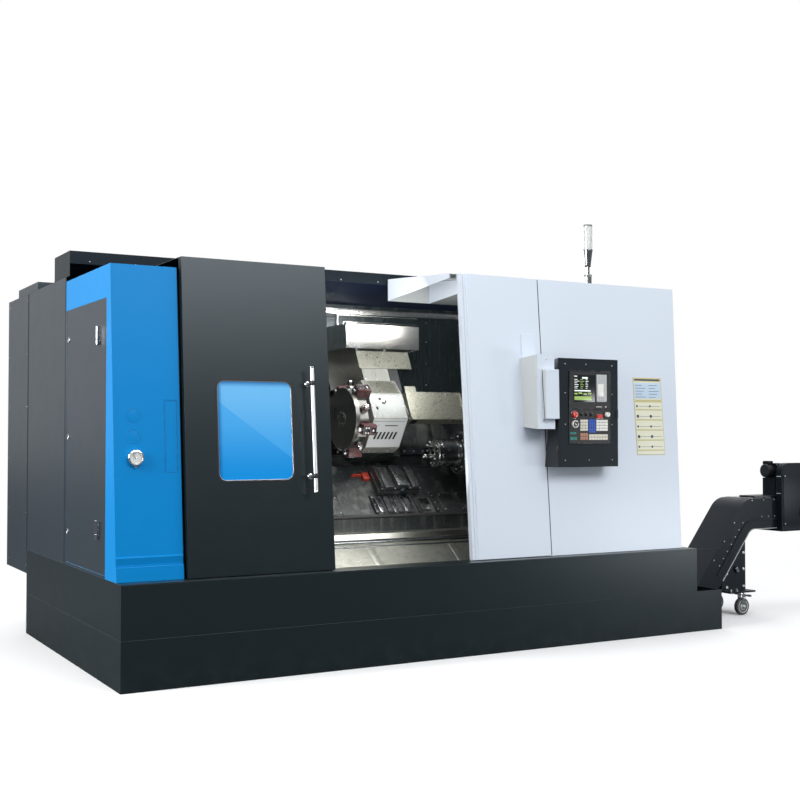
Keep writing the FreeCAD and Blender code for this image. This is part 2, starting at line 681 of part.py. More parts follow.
def control_box():
    """Box on the white panel; its left flank tapers towards the top at the back."""
    back_low = front_y(BOX_Z0, WHITE_SET) - GAP
    back_top = front_y(BOX_Z1, WHITE_SET) - GAP
    outline = [(BOX_Y, BOX_Z0), (back_low, BOX_Z0), (back_top, BOX_Z1), (BOX_Y, BOX_Z1)]
    body = prism_x(outline, BOX_X0, BOX_X1)
    stem_hole = rod_y(ESTOP_STEM_R + KNOB_GAP, BOX_Y - 1, BOX_Y + ESTOP_TRAVEL + 1, ESTOP_X, ESTOP_Z)
    front_top = V(BOX_X0, BOX_Y, BOX_Z1)
    back_corner = V(BOX_X0, back_top, BOX_Z1)
    taper = V(BOX_X0 + BOX_TAPER, back_top, BOX_Z1)
    flank = tetrahedron(front_top, back_corner, taper, V(BOX_X0, back_low, BOX_Z0))
    return body.cut(flank).cut(stem_hole)


def control_screen():
    face = BOX_Y - SCREEN_T
    bezel = block(SCREEN_X0, SCREEN_X1, face, BOX_Y, SCREEN_Z0, SCREEN_Z1)
    display = block(SCREEN_X0 + 30, SCREEN_X0 + 205, face - 1, face + 2, SCREEN_Z0 + 42, SCREEN_Z1 - 22)
    return bezel.cut(display)


def control_keypad():
    y0, y1 = BOX_Y - KEYS_T - 1, BOX_Y + 1
    pad = block(SCREEN_X0, SCREEN_X1, BOX_Y - KEYS_T, BOX_Y, KEYS_Z0, KEYS_Z1)
    stems = ((ESTOP_X, ESTOP_Z, ESTOP_STEM_R), (DIAL_X, DIAL_Z, DIAL_STEM_R), (FEED_X, FEED_Z, FEED_STEM_R))
    for x, z, r in stems:
        pad = pad.cut(rod_y(r + KNOB_GAP, y0, y1, x, z))
    half_w = CYCLE_W / 2 + KNOB_GAP
    half_h = CYCLE_H / 2 + KNOB_GAP
    return pad.cut(block(CYCLE_X - half_w, CYCLE_X + half_w, y0, y1, CYCLE_Z - half_h, CYCLE_Z + half_h))


def estop_button():
    face = BOX_Y - KEYS_T - ESTOP_TRAVEL - KNOB_GAP
    head = rod_y(ESTOP_R, face - 12, face, ESTOP_X, ESTOP_Z)
    rim = [e for e in head.Edges if abs(e.CenterOfMass.y - (face - 12)) < 0.1]
    stem = rod_y(ESTOP_STEM_R, face, BOX_Y - GAP, ESTOP_X, ESTOP_Z)
    return join([head.makeFillet(4.0, rim), stem])


def mpg_dial():
    face = BOX_Y - KEYS_T - KNOB_GAP
    wheel = rod_y(DIAL_R, face - 14, face, DIAL_X, DIAL_Z)
    stem = rod_y(DIAL_STEM_R, face, BOX_Y - GAP, DIAL_X, DIAL_Z)
    return join([wheel, stem])


def feed_knob():
    face = BOX_Y - KEYS_T - KNOB_GAP
    knob = rod_y(FEED_R, face - 18, face, FEED_X, FEED_Z)
    stem = rod_y(FEED_STEM_R, face, BOX_Y - GAP, FEED_X, FEED_Z)
    return join([knob, stem])


def cycle_button():
    back = BOX_Y - CYCLE_TRAVEL - GAP
    face = BOX_Y - KEYS_T - CYCLE_TRAVEL - 5
    half_w, half_h = CYCLE_W / 2, CYCLE_H / 2
    return block(CYCLE_X - half_w, CYCLE_X + half_w, face, back, CYCLE_Z - half_h, CYCLE_Z + half_h)


# ---- spindles ----

def headstock():
    """Cast headstock on the slanted bed, bored for the chuck's shaft."""
    top = AXIS_Z + 200.0
    front = AXIS_Y - 190.0
    outline = [(front, AXIS_Z - 130), slant(BED_S0 + 10, -BED_SINK), slant(SLIDE_S1, -BED_SINK),
               slant(SLIDE_S1, -170), (AXIS_Y + 110, top), (front, top)]
    bore = rod_x(SHAFT_R + GAP, HEAD_X1 - SHAFT_L - 1, HEAD_X1 + 1)
    return prism_x(outline, HEAD_X0, HEAD_X1).cut(bore)


def turned_about_axis(shape, degrees):
    turned = shape.copy()
    turned.rotate(V(0, AXIS_Y, AXIS_Z), X_AXIS, degrees)
    return turned


def jaw(face_x, side, radius, number):
    """Stepped jaw on a chuck face at face_x; side is +1 when the face looks along +X."""
    key_deep = JAW_KEY - GAP
    x0, x1 = sorted((face_x + side * GAP, face_x + side * JAW_OUT))
    mid = face_x + side * JAW_OUT / 2
    m0, m1 = sorted((face_x + side * GAP, mid))
    k0, k1 = sorted((face_x - side * key_deep, face_x + side * GAP))
    low = radius * 0.42
    high = radius * 0.66
    r1 = radius - JAW_TRAVEL - 4
    half = radius * 0.15
    step = block(x0, x1, AXIS_Y - half, AXIS_Y + half, AXIS_Z + low, AXIS_Z + high)
    foot = block(m0, m1, AXIS_Y - half, AXIS_Y + half, AXIS_Z + low, AXIS_Z + r1)
    key = block(k0, k1, AXIS_Y - half / 2, AXIS_Y + half / 2, AXIS_Z + low, AXIS_Z + r1)
    return turned_about_axis(join([step, foot, key]), 120 * number)


def chuck_body(face_x, side, length, radius, bore):
    """Chuck with its short shaft, a through bore and three radial jaw slots."""
    x0, x1 = sorted((face_x, face_x - side * length))
    body = rod_x(radius, x0, x1)
    rims = [e for e in body.Edges if isinstance(e.Curve, Part.Circle)]
    body = body.makeChamfer(3.0, rims)
    back = face_x - side * length
    n0, n1 = sorted((back, back - side * NOSE_L))
    s0, s1 = sorted((back, back - side * (NOSE_L + SHAFT_L)))
    body = join([body, rod_x(min(NOSE_R, radius - 10), n0, n1), rod_x(SHAFT_R, s0, s1)])
    low = radius * 0.42 - JAW_TRAVEL - 4
    half = radius * 0.15 / 2 + GAP
    k0, k1 = sorted((face_x - side * JAW_KEY, face_x + side))
    for i in range(3):
        slot = block(k0, k1, AXIS_Y - half, AXIS_Y + half, AXIS_Z + low, AXIS_Z + radius + 1)
        body = body.cut(turned_about_axis(slot, 120 * i))
    return body.cut(rod_x(bore, s0 - 400, s1 + 400))


def main_chuck():
    return chuck_body(MAIN_CHUCK_X0 + MAIN_CHUCK_L, 1, MAIN_CHUCK_L, MAIN_CHUCK_R, BORE_R)


def sub_chuck():
    return chuck_body(SUB_CHUCK_X0, -1, SUB_CHUCK_L, SUB_CHUCK_R, SUB_BORE_R)


def sub_spindle_housing():
    rail_top = -BED_SINK + RAIL_H + GAP
    x1 = SUB_HOUSE_X0 + SUB_HOUSE_L
    barrel = rod_x(SUB_HOUSE_R, SUB_HOUSE_X0, x1)
    carriage = prism_x([slant(SLIDE_S0, rail_top), slant(SLIDE_S1, rail_top), slant(SLIDE_S1, rail_top + 60),
                        slant(150, -100), slant(100, 0), slant(-100, -60)], SUB_HOUSE_X0 + 28, x1 - 20)
    house = join([barrel, carriage])
    return house.cut(rod_x(SHAFT_R + GAP, SUB_HOUSE_X0 - 1, SUB_HOUSE_X0 + SHAFT_L + 5))


# ---- slides and turret ----

def saddle():
    return slant_bar(SADDLE_S0, SADDLE_S1, -BED_SINK + RAIL_H + GAP, SLIDE_N0 - GAP, SADDLE_X0, SADDLE_X1)


def z_cover():
    """Galvanised cover to the right of the turret, standing on the saddle by its end plate."""
    corners = [(COVER_S0, COVER_N - 65), (COVER_S0, COVER_N), (COVER_S1, COVER_N), (COVER_S1, COVER_N - 30)]
    sheet = prism_x([slant(s, n) for s, n in folded(corners, -SHEET)], SLIDE_X1 + 15, COVER_X1)
    end = slant_bar(COVER_S0, COVER_S1, SLIDE_N0 - GAP, COVER_N, SLIDE_X1 + 15, SLIDE_X1 + 15 + SHEET)
    tab = slant_bar(COVER_S1, COVER_S1 + 42, COVER_N - SHEET, COVER_N, SLIDE_X1 + 15, SLIDE_X1 + 100)
    return join([sheet, end, tab])


def x_cover():
    """Bright box over the upper end of the cross slide, standing on the saddle's upper end."""
    rear_n = (-BED_SINK + RAIL_H + SLIDE_N0) / 2
    knee = slant(SADDLE_S1 + 300, rear_n)
    path = [(XCOVER_Y, XCOVER_Z0), (XCOVER_Y, XCOVER_Z1), (knee[0], XCOVER_Z1), knee, slant(SADDLE_S1, rear_n)]
    skin = prism_x(folded(path, -LINER), XCOVER_X0, XCOVER_X1)
    cheek = [(XCOVER_Y, XCOVER_Z0), (XCOVER_Y, XCOVER_Z1), (knee[0], XCOVER_Z1), knee]
    cheeks = [prism_x(cheek, x, x + LINER) for x in (XCOVER_X0, XCOVER_X1 - LINER)]
    return join([skin] + cheeks)


def turret_slide():
    return slant_bar(SLIDE_S0, SLIDE_S1, SLIDE_N0, TURRET_BACK, SLIDE_X0, SLIDE_X1)


def turret_housing():
    """Wedge-nosed housing, and the telescopic cover plate fixed to its top."""
    corners = [(66, -46), (186, 147), (370, 147), (500, 89), (500, TURRET_BACK), (66, TURRET_BACK)]
    house = prism_x([slant(s, n) for s, n in corners], TURRET_X0, TURRET_X1)
    y, z = slant(TURRET_S, 0)
    house = house.cut(rod_x(TURRET_SHAFT_R + GAP, TURRET_X0 - 1, TURRET_X0 + 61, y, z))
    cover = slant_bar(500, 640, SEGMENT_N - GAP - SHEET, SEGMENT_N - GAP, SLIDE_X0 + 20, SLIDE_X1 - 50)
    return Part.makeCompound([house, cover])


def cover_segment():
    """Middle plate of the telescopic cover; it travels half as far as the turret."""
    return slant_bar(600, 735, SEGMENT_N, SEGMENT_N + SHEET, SLIDE_X0 + 5, XCOVER_X1 - 90)


def turret_disc():
    y, z = slant(TURRET_S, 0)
    disc = rod_x(DISC_R, DISC_X0, DISC_X1, y, z)
    flat = DISC_R * math.cos(math.pi / STATIONS)
    for i in range(STATIONS):
        trim = block(DISC_X0 + 30, DISC_X1 + 1, y - DISC_R, y + DISC_R, z + flat - 4, z + DISC_R + 50)
        trim.rotate(V(0, y, z), X_AXIS, 360.0 / STATIONS * i)
        disc = disc.cut(trim)
    shaft = rod_x(TURRET_SHAFT_R, DISC_X1, TURRET_X0 + 60, y, z)
    return join([disc, shaft])


def tool_holders():
    """Square holder blocks on the disc's flats, each with a round tool pointing outwards."""
    y, z = slant(TURRET_S, 0)
    flat = DISC_R * math.cos(math.pi / STATIONS) - 4
    holders = []
    for i in range(STATIONS):
        foot, top = z + flat, z + flat + HOLDER_H
        if i % 2:
            solid = block(DISC_X0 + 34, DISC_X1 + 35, y - HOLDER_W / 2, y + HOLDER_W / 2, foot, top)
        else:
            x = DISC_X0 + 62
            solid = join([rod_z(25, foot, foot + 26, x, y), rod_z(17, foot + 26, top, x, y)])
        solid.rotate(V(0, y, z), X_AXIS, 360.0 / STATIONS * i)
        holders.append(solid)
    return Part.makeCompound(holders)


def lower_slide():
    """Slide with two cheek plates, a middle plate and ribs."""
    bottom = LOWER_WAY_H + GAP
    base = low_bar(LOWER_A0, LOWER_A1, bottom, bottom + 30, LOWER_X0, LOWER_X1)
    pieces = [base]
    width = LOWER_X1 - LOWER_X0
    for start, wide, top in ((0.02, 0.06, 1.0), (0.14, 0.2, 0.75), (0.42, 0.28, 1.0), (0.8, 0.16, 0.75)):
        x0 = LOWER_X0 + start * width
        x1 = x0 + wide * width
        pieces.append(low_bar(LOWER_A0 + 10, LOWER_A1 - 6, bottom + 30, bottom + LOWER_T * top, x0, x1))
    return join(pieces)


# ---- chip conveyor ----

def conveyor_outline(inset):
    """(x, z) outline of the conveyor's casing, inset all round."""
    slope = math.tan(math.radians(CONV_SLOPE))
    shift = inset / math.sin(math.radians(CONV_SLOPE))
    low, low_top = CONV_LOW + inset, CONV_LOW + CONV_LOW_T - inset
    high, top = CONV_HIGH + inset, CONV_TOP - inset

    def under_x(z):
        return CONV_UNDER_X - shift + (z - CONV_HIGH) / slope

    def top_x(z):
        return CONV_TOP_X + shift + (z - CONV_TOP) / slope

    return [(CONV_X0 + inset, low), (under_x(low), low), (under_x(high), high), (CONV_HEAD_X, high),
            (CONV_HEAD_X, top), (top_x(top), top), (top_x(low_top), low_top), (CONV_X0 + inset, low_top)]


def conveyor_casing(inset):
    """The casing's solid shape with its two upper bends rounded, inset all round."""
    solid = prism_y(conveyor_outline(inset), CONV_Y0 + inset, CONV_Y1 - inset)
    for z, x, radius in ((CONV_TOP - inset, CONV_TOP_X, TOP_BEND_R - inset),
                         (CONV_HIGH + inset, CONV_UNDER_X, UNDER_BEND_R + inset)):
        bend = [e for e in solid.Edges
                if abs(e.tangentAt(e.FirstParameter).y) > 0.9
                and abs(e.CenterOfMass.z - z) < 0.1 and abs(e.CenterOfMass.x - x) < 20]
        solid = solid.makeFillet(radius, bend)
    return solid


def conveyor_trough():
    wall = CONV_WALL
    low_top = CONV_LOW + CONV_LOW_T
    y0, y1 = CONV_Y0 + wall, CONV_Y1 - wall
    fill = block(CONV_X0 + 60, BED_X1, y0 + 16, y1 - 16, low_top - wall - 1, low_top + 1)
    end = block(CONV_HEAD_X - 1 - wall, CONV_HEAD_X + 5, y0, y1, CONV_HIGH + wall, CONV_TOP - wall)
    return conveyor_casing(0.0).cut(conveyor_casing(wall)).cut(fill).cut(end)


def conveyor_head():
    """Hollow head with an entry and a floor outlet, and a tall chain guard on its near side."""
    x0, x1 = CONV_HEAD_X, CONV_HEAD_X + HEAD_BOX_L
    w = CONV_WALL
    box = block(x0, x1, CONV_Y0, CONV_Y1, HEAD_BOX_Z0, CONV_TOP)
    inside = block(x0 + w, x1 - w, CONV_Y0 + w, CONV_Y1 - w, HEAD_BOX_Z0 + w, CONV_TOP - w)
    entry = block(x0 - 1, x0 + w + 1, CONV_Y0 + w, CONV_Y1 - w, CONV_HIGH + w, CONV_TOP - w)
    outlet = block(x0 + 220, x1 - 30, CONV_Y0 + 40, CONV_Y1 - 40, HEAD_BOX_Z0 - 1, HEAD_BOX_Z0 + w + 1)

    def guard(inset):
        tall = block(x0 + inset, x1 - inset, CONV_Y0 - GUARD_T + inset, CONV_Y0 - inset,
                     HEAD_BOX_Z0 + inset, GUARD_Z1 - inset)
        return round_top(tall, GUARD_R - inset)

    hollow = [box.cut(inside).cut(entry).cut(outlet), guard(0.0).cut(guard(w))]
    return join(hollow)


def conveyor_motor():
    """Geared motor on its stand, on the head behind the chain guard."""
    z0 = CONV_TOP
    y0 = CONV_Y0 + 20
    x1 = CONV_HEAD_X + MOTOR_IN
    stand = block(x1 - 100, x1, y0, y0 + 120, z0, z0 + 150)
    stand = stand.cut(block(x1 - 92, x1 - 8, y0 - 1, y0 + 121, z0 + 8, z0 + 142))
    gearbox = block(x1 - 80, x1, y0 + 5, y0 + 115, z0 + 150, z0 + 262)
    motor = rod_x(48, x1 - 140, x1 - 80, y0 + 60, z0 + 206)
    return join([stand, gearbox, motor])


def conveyor_leg():
    """Two gussets welded to a foot plate, standing on the casters."""
    slope = math.tan(math.radians(CONV_SLOPE))
    z0 = LEG_PLATE_Z + LEG_PLATE_T
    x1 = LEG_X1 - 10

    def under_z(x):
        return CONV_HIGH + (x - CONV_UNDER_X) * slope

    gusset = [(LEG_X0, z0), (x1, z0), (x1, under_z(x1)), (LEG_X0, under_z(LEG_X0))]
    plates = [prism_y(gusset, y, y + 10) for y in (CONV_Y0 + 5, CONV_Y1 - 15)]
    foot = block(LEG_X0, LEG_X1, CASTER_Y[0] - 35, CASTER_Y[1] + 35, LEG_PLATE_Z, z0)
    back = block(x1 - 10, x1, CONV_Y0 + 5, CONV_Y1 - 5, z0, under_z(x1 - 10))
    return join(plates + [foot, back])


def caster_fork(y):
    top = LEG_PLATE_Z - GAP
    half = WHEEL_W / 2 + 4
    x = CASTER_X + CASTER_TRAIL
    crown = rod_z(34, top - 9, top, CASTER_X, y)
    bridge = block(CASTER_X - 20, x + 18, y - half - 4, y + half + 4, top - 15, top - 9)
    cheeks = [block(x - 16, x + 16, side, side + 4, WHEEL_R - 14, top - 12)
              for side in (y - half - 4, y + half)]
    axle = rod_y(AXLE_R, y - half - 8, y + half + 8, x, WHEEL_R)
    return join([crown, bridge, axle] + cheeks)


def caster_wheel(y):
    x = CASTER_X + CASTER_TRAIL
    tyre = rod_y(WHEEL_R, y - WHEEL_W / 2, y + WHEEL_W / 2, x, WHEEL_R)
    hub = rod_y(18, y - WHEEL_W / 2 - 3, y + WHEEL_W / 2 + 3, x, WHEEL_R)
    rims = [e for e in tyre.Edges if isinstance(e.Curve, Part.Circle)]
    wheel = join([tyre.makeFillet(6.0, rims), hub])
    return wheel.cut(rod_y(AXLE_R + GAP, y - WHEEL_W, y + WHEEL_W, x, WHEEL_R))


# ---- small fittings ----

def beacon_base():
    foot = WHITE_TOP + BEACON_COLLAR
    neck = BEACON_Z0 - BEACON_CONE
    collar = rod_z(27, WHITE_TOP, foot, BEACON_X, BEACON_Y)
    pole = rod_z(12.5, foot, neck, BEACON_X, BEACON_Y)
    cone = Part.makeCone(20, BEACON_R, BEACON_CONE, V(BEACON_X, BEACON_Y, neck))
    return join([collar, pole, cone])


def beacon_lens():
    lens = rod_z(BEACON_R - 2, BEACON_Z0, BEACON_Z1, BEACON_X, BEACON_Y)
    return lens.makeFillet(8.0, [e for e in lens.Edges if abs(e.CenterOfMass.z - BEACON_Z1) < 0.1])


def pressure_gauge():
    height = (GAUGE_Z - BASE_H) / math.cos(LEAN_RAD)
    case = rod_y(GAUGE_R, -GAUGE_T, 0, GAUGE_X, height)
    dial = rod_y(GAUGE_R - 7, -GAUGE_T - 1, -GAUGE_T + 5, GAUGE_X, height)
    return lean_back(case.cut(dial), BLUE_SET)


def write(name, shape):
    """Write one piece, or a group of separate solids, in the part's own frame."""
    placed = shape.copy()
    placed.translate(V(-BASE_L / 2, -BASE_D / 2, 0))
    solids = placed.Solids
    piece = solids[0] if len(solids) == 1 else Part.makeCompound(solids)
    piece.exportStep("parts/" + name + ".step")


def main():
    os.makedirs("parts", exist_ok=True)
    singles = [base_tray, upper_skirt, bed_casting, bed_rails, headstock, left_column_cover,
               left_side_panel, pocket_panels, right_front_panel, right_end_panel, rear_panel,
               roof_housing, electrical_cabinet, liner_panels, chip_pan, beacon_base, beacon_lens,
               pressure_gauge, control_box, control_screen, control_keypad, side_door_hinges,
               conveyor_trough, conveyor_head, conveyor_motor, conveyor_leg, left_door,
               left_door_window, left_door_handle, right_door, right_door_canopy, right_door_grip,
               side_door, cabinet_door, main_chuck, sub_spindle_housing, sub_chuck, saddle, z_cover,
               x_cover, turret_slide, turret_housing, cover_segment, turret_disc, tool_holders,
               lower_slide, estop_button, mpg_dial, feed_knob, cycle_button]
    for build in singles:
        write(build.__name__, build())
    for number in range(3):
        write("main_jaw_%d" % (number + 1), jaw(MAIN_CHUCK_X0 + MAIN_CHUCK_L, 1, MAIN_CHUCK_R, number))
        write("sub_jaw_%d" % (number + 1), jaw(SUB_CHUCK_X0, -1, SUB_CHUCK_R, number))
    for number, y in enumerate(CASTER_Y):
        write("caster_fork_%d" % (number + 1), caster_fork(y))
        write("caster_wheel_%d" % (number + 1), caster_wheel(y))


main()
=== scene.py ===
import math

import bmesh
import bpy
from mathutils import Matrix, Vector


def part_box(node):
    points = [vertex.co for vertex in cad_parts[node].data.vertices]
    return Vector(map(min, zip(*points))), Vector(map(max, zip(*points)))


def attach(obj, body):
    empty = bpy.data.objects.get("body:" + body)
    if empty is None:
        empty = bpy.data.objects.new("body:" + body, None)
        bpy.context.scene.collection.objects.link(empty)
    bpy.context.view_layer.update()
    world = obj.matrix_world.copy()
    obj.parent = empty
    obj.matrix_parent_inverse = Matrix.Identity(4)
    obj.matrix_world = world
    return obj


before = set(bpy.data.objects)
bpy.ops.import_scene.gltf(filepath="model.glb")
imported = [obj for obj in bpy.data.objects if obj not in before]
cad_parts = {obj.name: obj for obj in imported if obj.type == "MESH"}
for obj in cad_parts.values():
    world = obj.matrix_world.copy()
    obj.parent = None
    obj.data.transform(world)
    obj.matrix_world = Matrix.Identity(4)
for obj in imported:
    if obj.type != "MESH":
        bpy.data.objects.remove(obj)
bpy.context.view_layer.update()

# Finish, fittings and small hardware of a slant-bed turning lathe.
# Lengths are in millimetres from the base's left front lower corner, and become metres in at().

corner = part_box("base_tray")[0]
LEAN = math.radians(4.84)    # the front's tilt away from the operator
SLANT = math.radians(64)     # the slide ways' rise from the floor
BASE_LENGTH, BASE_DEPTH = 4200, 2185
BASE_TOP = 560
FRONT_SET_BACK = 60          # from the base's front edge to the foot of the leaning front
BLUE_SET_BACK = 33           # the blue column and the white front lie behind the left door's face
WHITE_SET_BACK = 27
SPINDLE_Y, SPINDLE_Z = 850, 1210
TURRET_Y, TURRET_Z = 961.8, 1439.2
CABINET_DOOR_Y = 2822.3
GAUGE_X, GAUGE_Z = 115, 1212

UP, BACK, FRONT, RIGHT, LEFT = (0, 0, 1), (0, 1, 0), (0, -1, 0), (1, 0, 0), (-1, 0, 0)
UP_SLOPE = (0, math.cos(SLANT), math.sin(SLANT))
OFF_SLOPE = (0, -math.sin(SLANT), math.cos(SLANT))

# The studio, in metres.
CAMERA_PLACE = (-3.9112, -7.1994, 1.3481)
CAMERA_TURN = (math.radians(91.557), 0, math.radians(-29.577))
CAMERA_LENS = 53.92
MIDDLE = Vector((0.2, 0, 1.1))
WORK_AREA = Vector((0.1, 0.35, 1.3))
FLOOR_FADE = (3.2, 6.0)      # distances from the middle between which the floor turns white


def at(x, y, z):
    """A point in metres from millimetres along, behind and above the base's corner."""
    return corner + Vector((x, y, z)) / 1000


def srgb(*channels):
    """A paint colour given from 0 to 255, as the linear value that a shader wants."""
    linear = (v / 255 / 12.92 if v < 11 else ((v / 255 + 0.055) / 1.055) ** 2.4 for v in channels)
    return (*linear, 1.0)


# ---- shader building ----

def add(tree, kind, inputs=None, **settings):
    """Add one shader node; inputs are values or the sockets that feed them."""
    node = tree.nodes.new("ShaderNode" + kind)
    for key, value in settings.items():
        setattr(node, key, value)
    for socket, value in (inputs or {}).items():
        if isinstance(value, bpy.types.NodeSocket):
            tree.links.new(value, node.inputs[socket])
        else:
            node.inputs[socket].default_value = value
    return node


def effect(name, inputs, outputs):
    """Start a shared effect: a node group with named inputs and outputs."""
    tree = bpy.data.node_groups.new(name, "ShaderNodeTree")
    for socket, kind, value in inputs:
        item = tree.interface.new_socket(socket, in_out="INPUT", socket_type="NodeSocket" + kind)
        item.default_value = value
    for socket, kind in outputs:
        tree.interface.new_socket(socket, in_out="OUTPUT", socket_type="NodeSocket" + kind)
    return tree, tree.nodes.new("NodeGroupInput").outputs, tree.nodes.new("NodeGroupOutput")


def give(tree, end, **sockets):
    """Feed a group's outputs, named with _ for each space."""
    for name, socket in sockets.items():
        tree.links.new(socket, end.inputs[name.replace("_", " ")])


def blend_colour(tree, factor, first, second):
    """A colour between two, by a factor from 0 to 1."""
    return add(tree, "Mix", {0: factor, 6: first, 7: second}, data_type="RGBA").outputs[2]


def calc(tree, operation, first, second=0.0, clamp=False):
    """One sum on two values or sockets."""
    node = add(tree, "Math", {0: first, 1: second}, operation=operation, use_clamp=clamp)
    return node.outputs[0]


def spread(tree, value, low, high, out_low=0.0, out_high=1.0):
    """Stretch a value between low and high onto out_low to out_high."""
    node = add(tree, "MapRange", {0: value, 1: low, 2: high, 3: out_low, 4: out_high},
               interpolation_type="SMOOTHSTEP")
    return node.outputs[0]


def clouds(tree, scale, detail=3.0, stretch=None, rough=0.55):
    """Noise laid on the object's own coordinates, in cycles per metre."""
    place = add(tree, "TexCoord").outputs["Object"]
    if stretch is not None:
        place = add(tree, "Mapping", {"Vector": place, "Scale": stretch}).outputs[0]
    noise = add(tree, "TexNoise", {"Vector": place, "Scale": scale, "Detail": detail, "Roughness": rough})
    return noise.outputs["Fac"]


def make_peel():
    """Orange-peel skin of a baked powder coat, with faint changes of shade and sheen."""
    tree, given, end = effect(
        "powder_coat_skin",
        [("Color", "Color", (0.5, 0.5, 0.5, 1)), ("Shade", "Float", 0.06), ("Roughness", "Float", 0.35),
         ("Grain", "Float", 420.0)],
        [("Color", "Color"), ("Roughness", "Float"), ("Height", "Float")])
    wide = clouds(tree, 1.3, 3.0)
    fine = add(tree, "TexNoise", {"Vector": add(tree, "TexCoord").outputs["Object"], "Scale": given["Grain"],
                                  "Detail": 2.0}).outputs["Fac"]
    tone = calc(tree, "MULTIPLY", calc(tree, "SUBTRACT", wide, 0.5), given["Shade"])
    lift = calc(tree, "ADD", calc(tree, "MULTIPLY", tone, 2.0), 1.0)
    colour = add(tree, "VectorMath", {0: given["Color"], 3: lift}, operation="SCALE").outputs[0]
    rub = spread(tree, clouds(tree, 7.0, 5.0), 0.42, 0.72, -0.008, 0.012)
    give(tree, end, Color=colour, Roughness=calc(tree, "ADD", given["Roughness"], rub, True), Height=fine)
    return tree


def make_edges():
    """Sheet-metal edges: softly rounded, with a paler colour along their length that is partly a painted edge
    highlight and partly rubbed wear.
    """
    tree, given, end = effect(
        "worn_edges_painted_highlight",
        [("Color", "Color", (0.5, 0.5, 0.5, 1)), ("Edge Color", "Color", (0.8, 0.8, 0.8, 1)),
         ("Radius", "Float", 0.002), ("Amount", "Float", 0.4)],
        [("Color", "Color"), ("Normal", "Vector")])
    soft = add(tree, "Bevel", {"Radius": given["Radius"]}, samples=4).outputs[0]
    flat = add(tree, "NewGeometry").outputs["Normal"]
    turn = add(tree, "VectorMath", {0: soft, 1: flat}, operation="DOT_PRODUCT").outputs["Value"]
    edge = spread(tree, calc(tree, "SUBTRACT", 1.0, turn), 0.02, 0.2)
    rub = spread(tree, clouds(tree, 38.0, 4.0), 0.35, 0.65, 0.25, 1.0)
    # paler edge colour: a painted highlight along every edge, broken into patches of wear
    mask = calc(tree, "MULTIPLY", calc(tree, "MULTIPLY", edge, rub), given["Amount"], True)
    give(tree, end, Color=blend_colour(tree, mask, given["Color"], given["Edge Color"]), Normal=soft)
    return tree


def make_dust():
    """Shop dust that settles on upward faces and creeps up from the floor."""
    tree, given, end = effect(
        "shop_dust",
        [("Color", "Color", (0.5, 0.5, 0.5, 1)), ("Dust Color", "Color", (0.45, 0.43, 0.4, 1)),
         ("Amount", "Float", 0.2), ("Roughness", "Float", 0.4)],
        [("Color", "Color"), ("Roughness", "Float")])
    up = add(tree, "SeparateXYZ", {0: add(tree, "NewGeometry").outputs["Normal"]}).outputs[2]
    level = add(tree, "SeparateXYZ", {0: add(tree, "TexCoord").outputs["Object"]}).outputs[2]
    lying = spread(tree, up, 0.6, 1.0)
    low = spread(tree, level, 0.0, 0.22, 0.4, 0.0)
    patch = spread(tree, clouds(tree, 11.0, 6.0), 0.38, 0.68)
    mask = calc(tree, "MULTIPLY", calc(tree, "ADD", calc(tree, "MAXIMUM", lying, low), 0.05), patch)
    mask = calc(tree, "MULTIPLY", mask, given["Amount"], True)
    rough = calc(tree, "ADD", given["Roughness"], calc(tree, "MULTIPLY", mask, 0.5), True)
    give(tree, end, Color=blend_colour(tree, mask, given["Color"], given["Dust Color"]), Roughness=rough)
    return tree


def make_runs():
    """Coolant that has run down and dried on an upright face."""
    tree, given, end = effect(
        "coolant_runs",
        [("Color", "Color", (0.5, 0.5, 0.5, 1)), ("Run Color", "Color", (0.2, 0.2, 0.18, 1)),
         ("Amount", "Float", 0.3), ("Roughness", "Float", 0.3)],
        [("Color", "Color"), ("Roughness", "Float")])
    streak = spread(tree, clouds(tree, 16.0, 5.0, (1.0, 1.0, 0.09)), 0.48, 0.7)
    spots = spread(tree, clouds(tree, 90.0, 2.0), 0.6, 0.72)
    mask = calc(tree, "MULTIPLY", calc(tree, "MAXIMUM", streak, calc(tree, "MULTIPLY", spots, 0.7)),
                given["Amount"], True)
    rough = calc(tree, "ADD", given["Roughness"], calc(tree, "MULTIPLY", mask, 0.25), True)
    give(tree, end, Color=blend_colour(tree, mask, given["Color"], given["Run Color"]), Roughness=rough)
    return tree


def make_brush():
    """Fine parallel lines left by a brush or by a turning or grinding tool."""
    tree, given, end = effect("brushed_lines",
                              [("Color", "Color", (0.6, 0.6, 0.6, 1)),
                               ("Direction", "Vector", (1.0, 60.0, 60.0)), ("Contrast", "Float", 0.15),
                               ("Roughness", "Float", 0.3)],
                              [("Color", "Color"), ("Roughness", "Float"), ("Height", "Float")])
    place = add(tree, "VectorMath", {0: add(tree, "TexCoord").outputs["Object"], 1: given["Direction"]},
                operation="MULTIPLY").outputs[0]
    lines = add(tree, "TexNoise",
                {"Vector": place, "Scale": 9.0, "Detail": 6.0, "Roughness": 0.7}).outputs["Fac"]
    centred = calc(tree, "SUBTRACT", lines, 0.5)
    lift = calc(tree, "ADD", calc(tree, "MULTIPLY", centred, given["Contrast"]), 1.0)
    colour = add(tree, "VectorMath", {0: given["Color"], 3: lift}, operation="SCALE").outputs[0]
    rough = calc(tree, "ADD", given["Roughness"], calc(tree, "MULTIPLY", centred, 0.25), True)
    give(tree, end, Color=colour, Roughness=rough, Height=lines)
    return tree


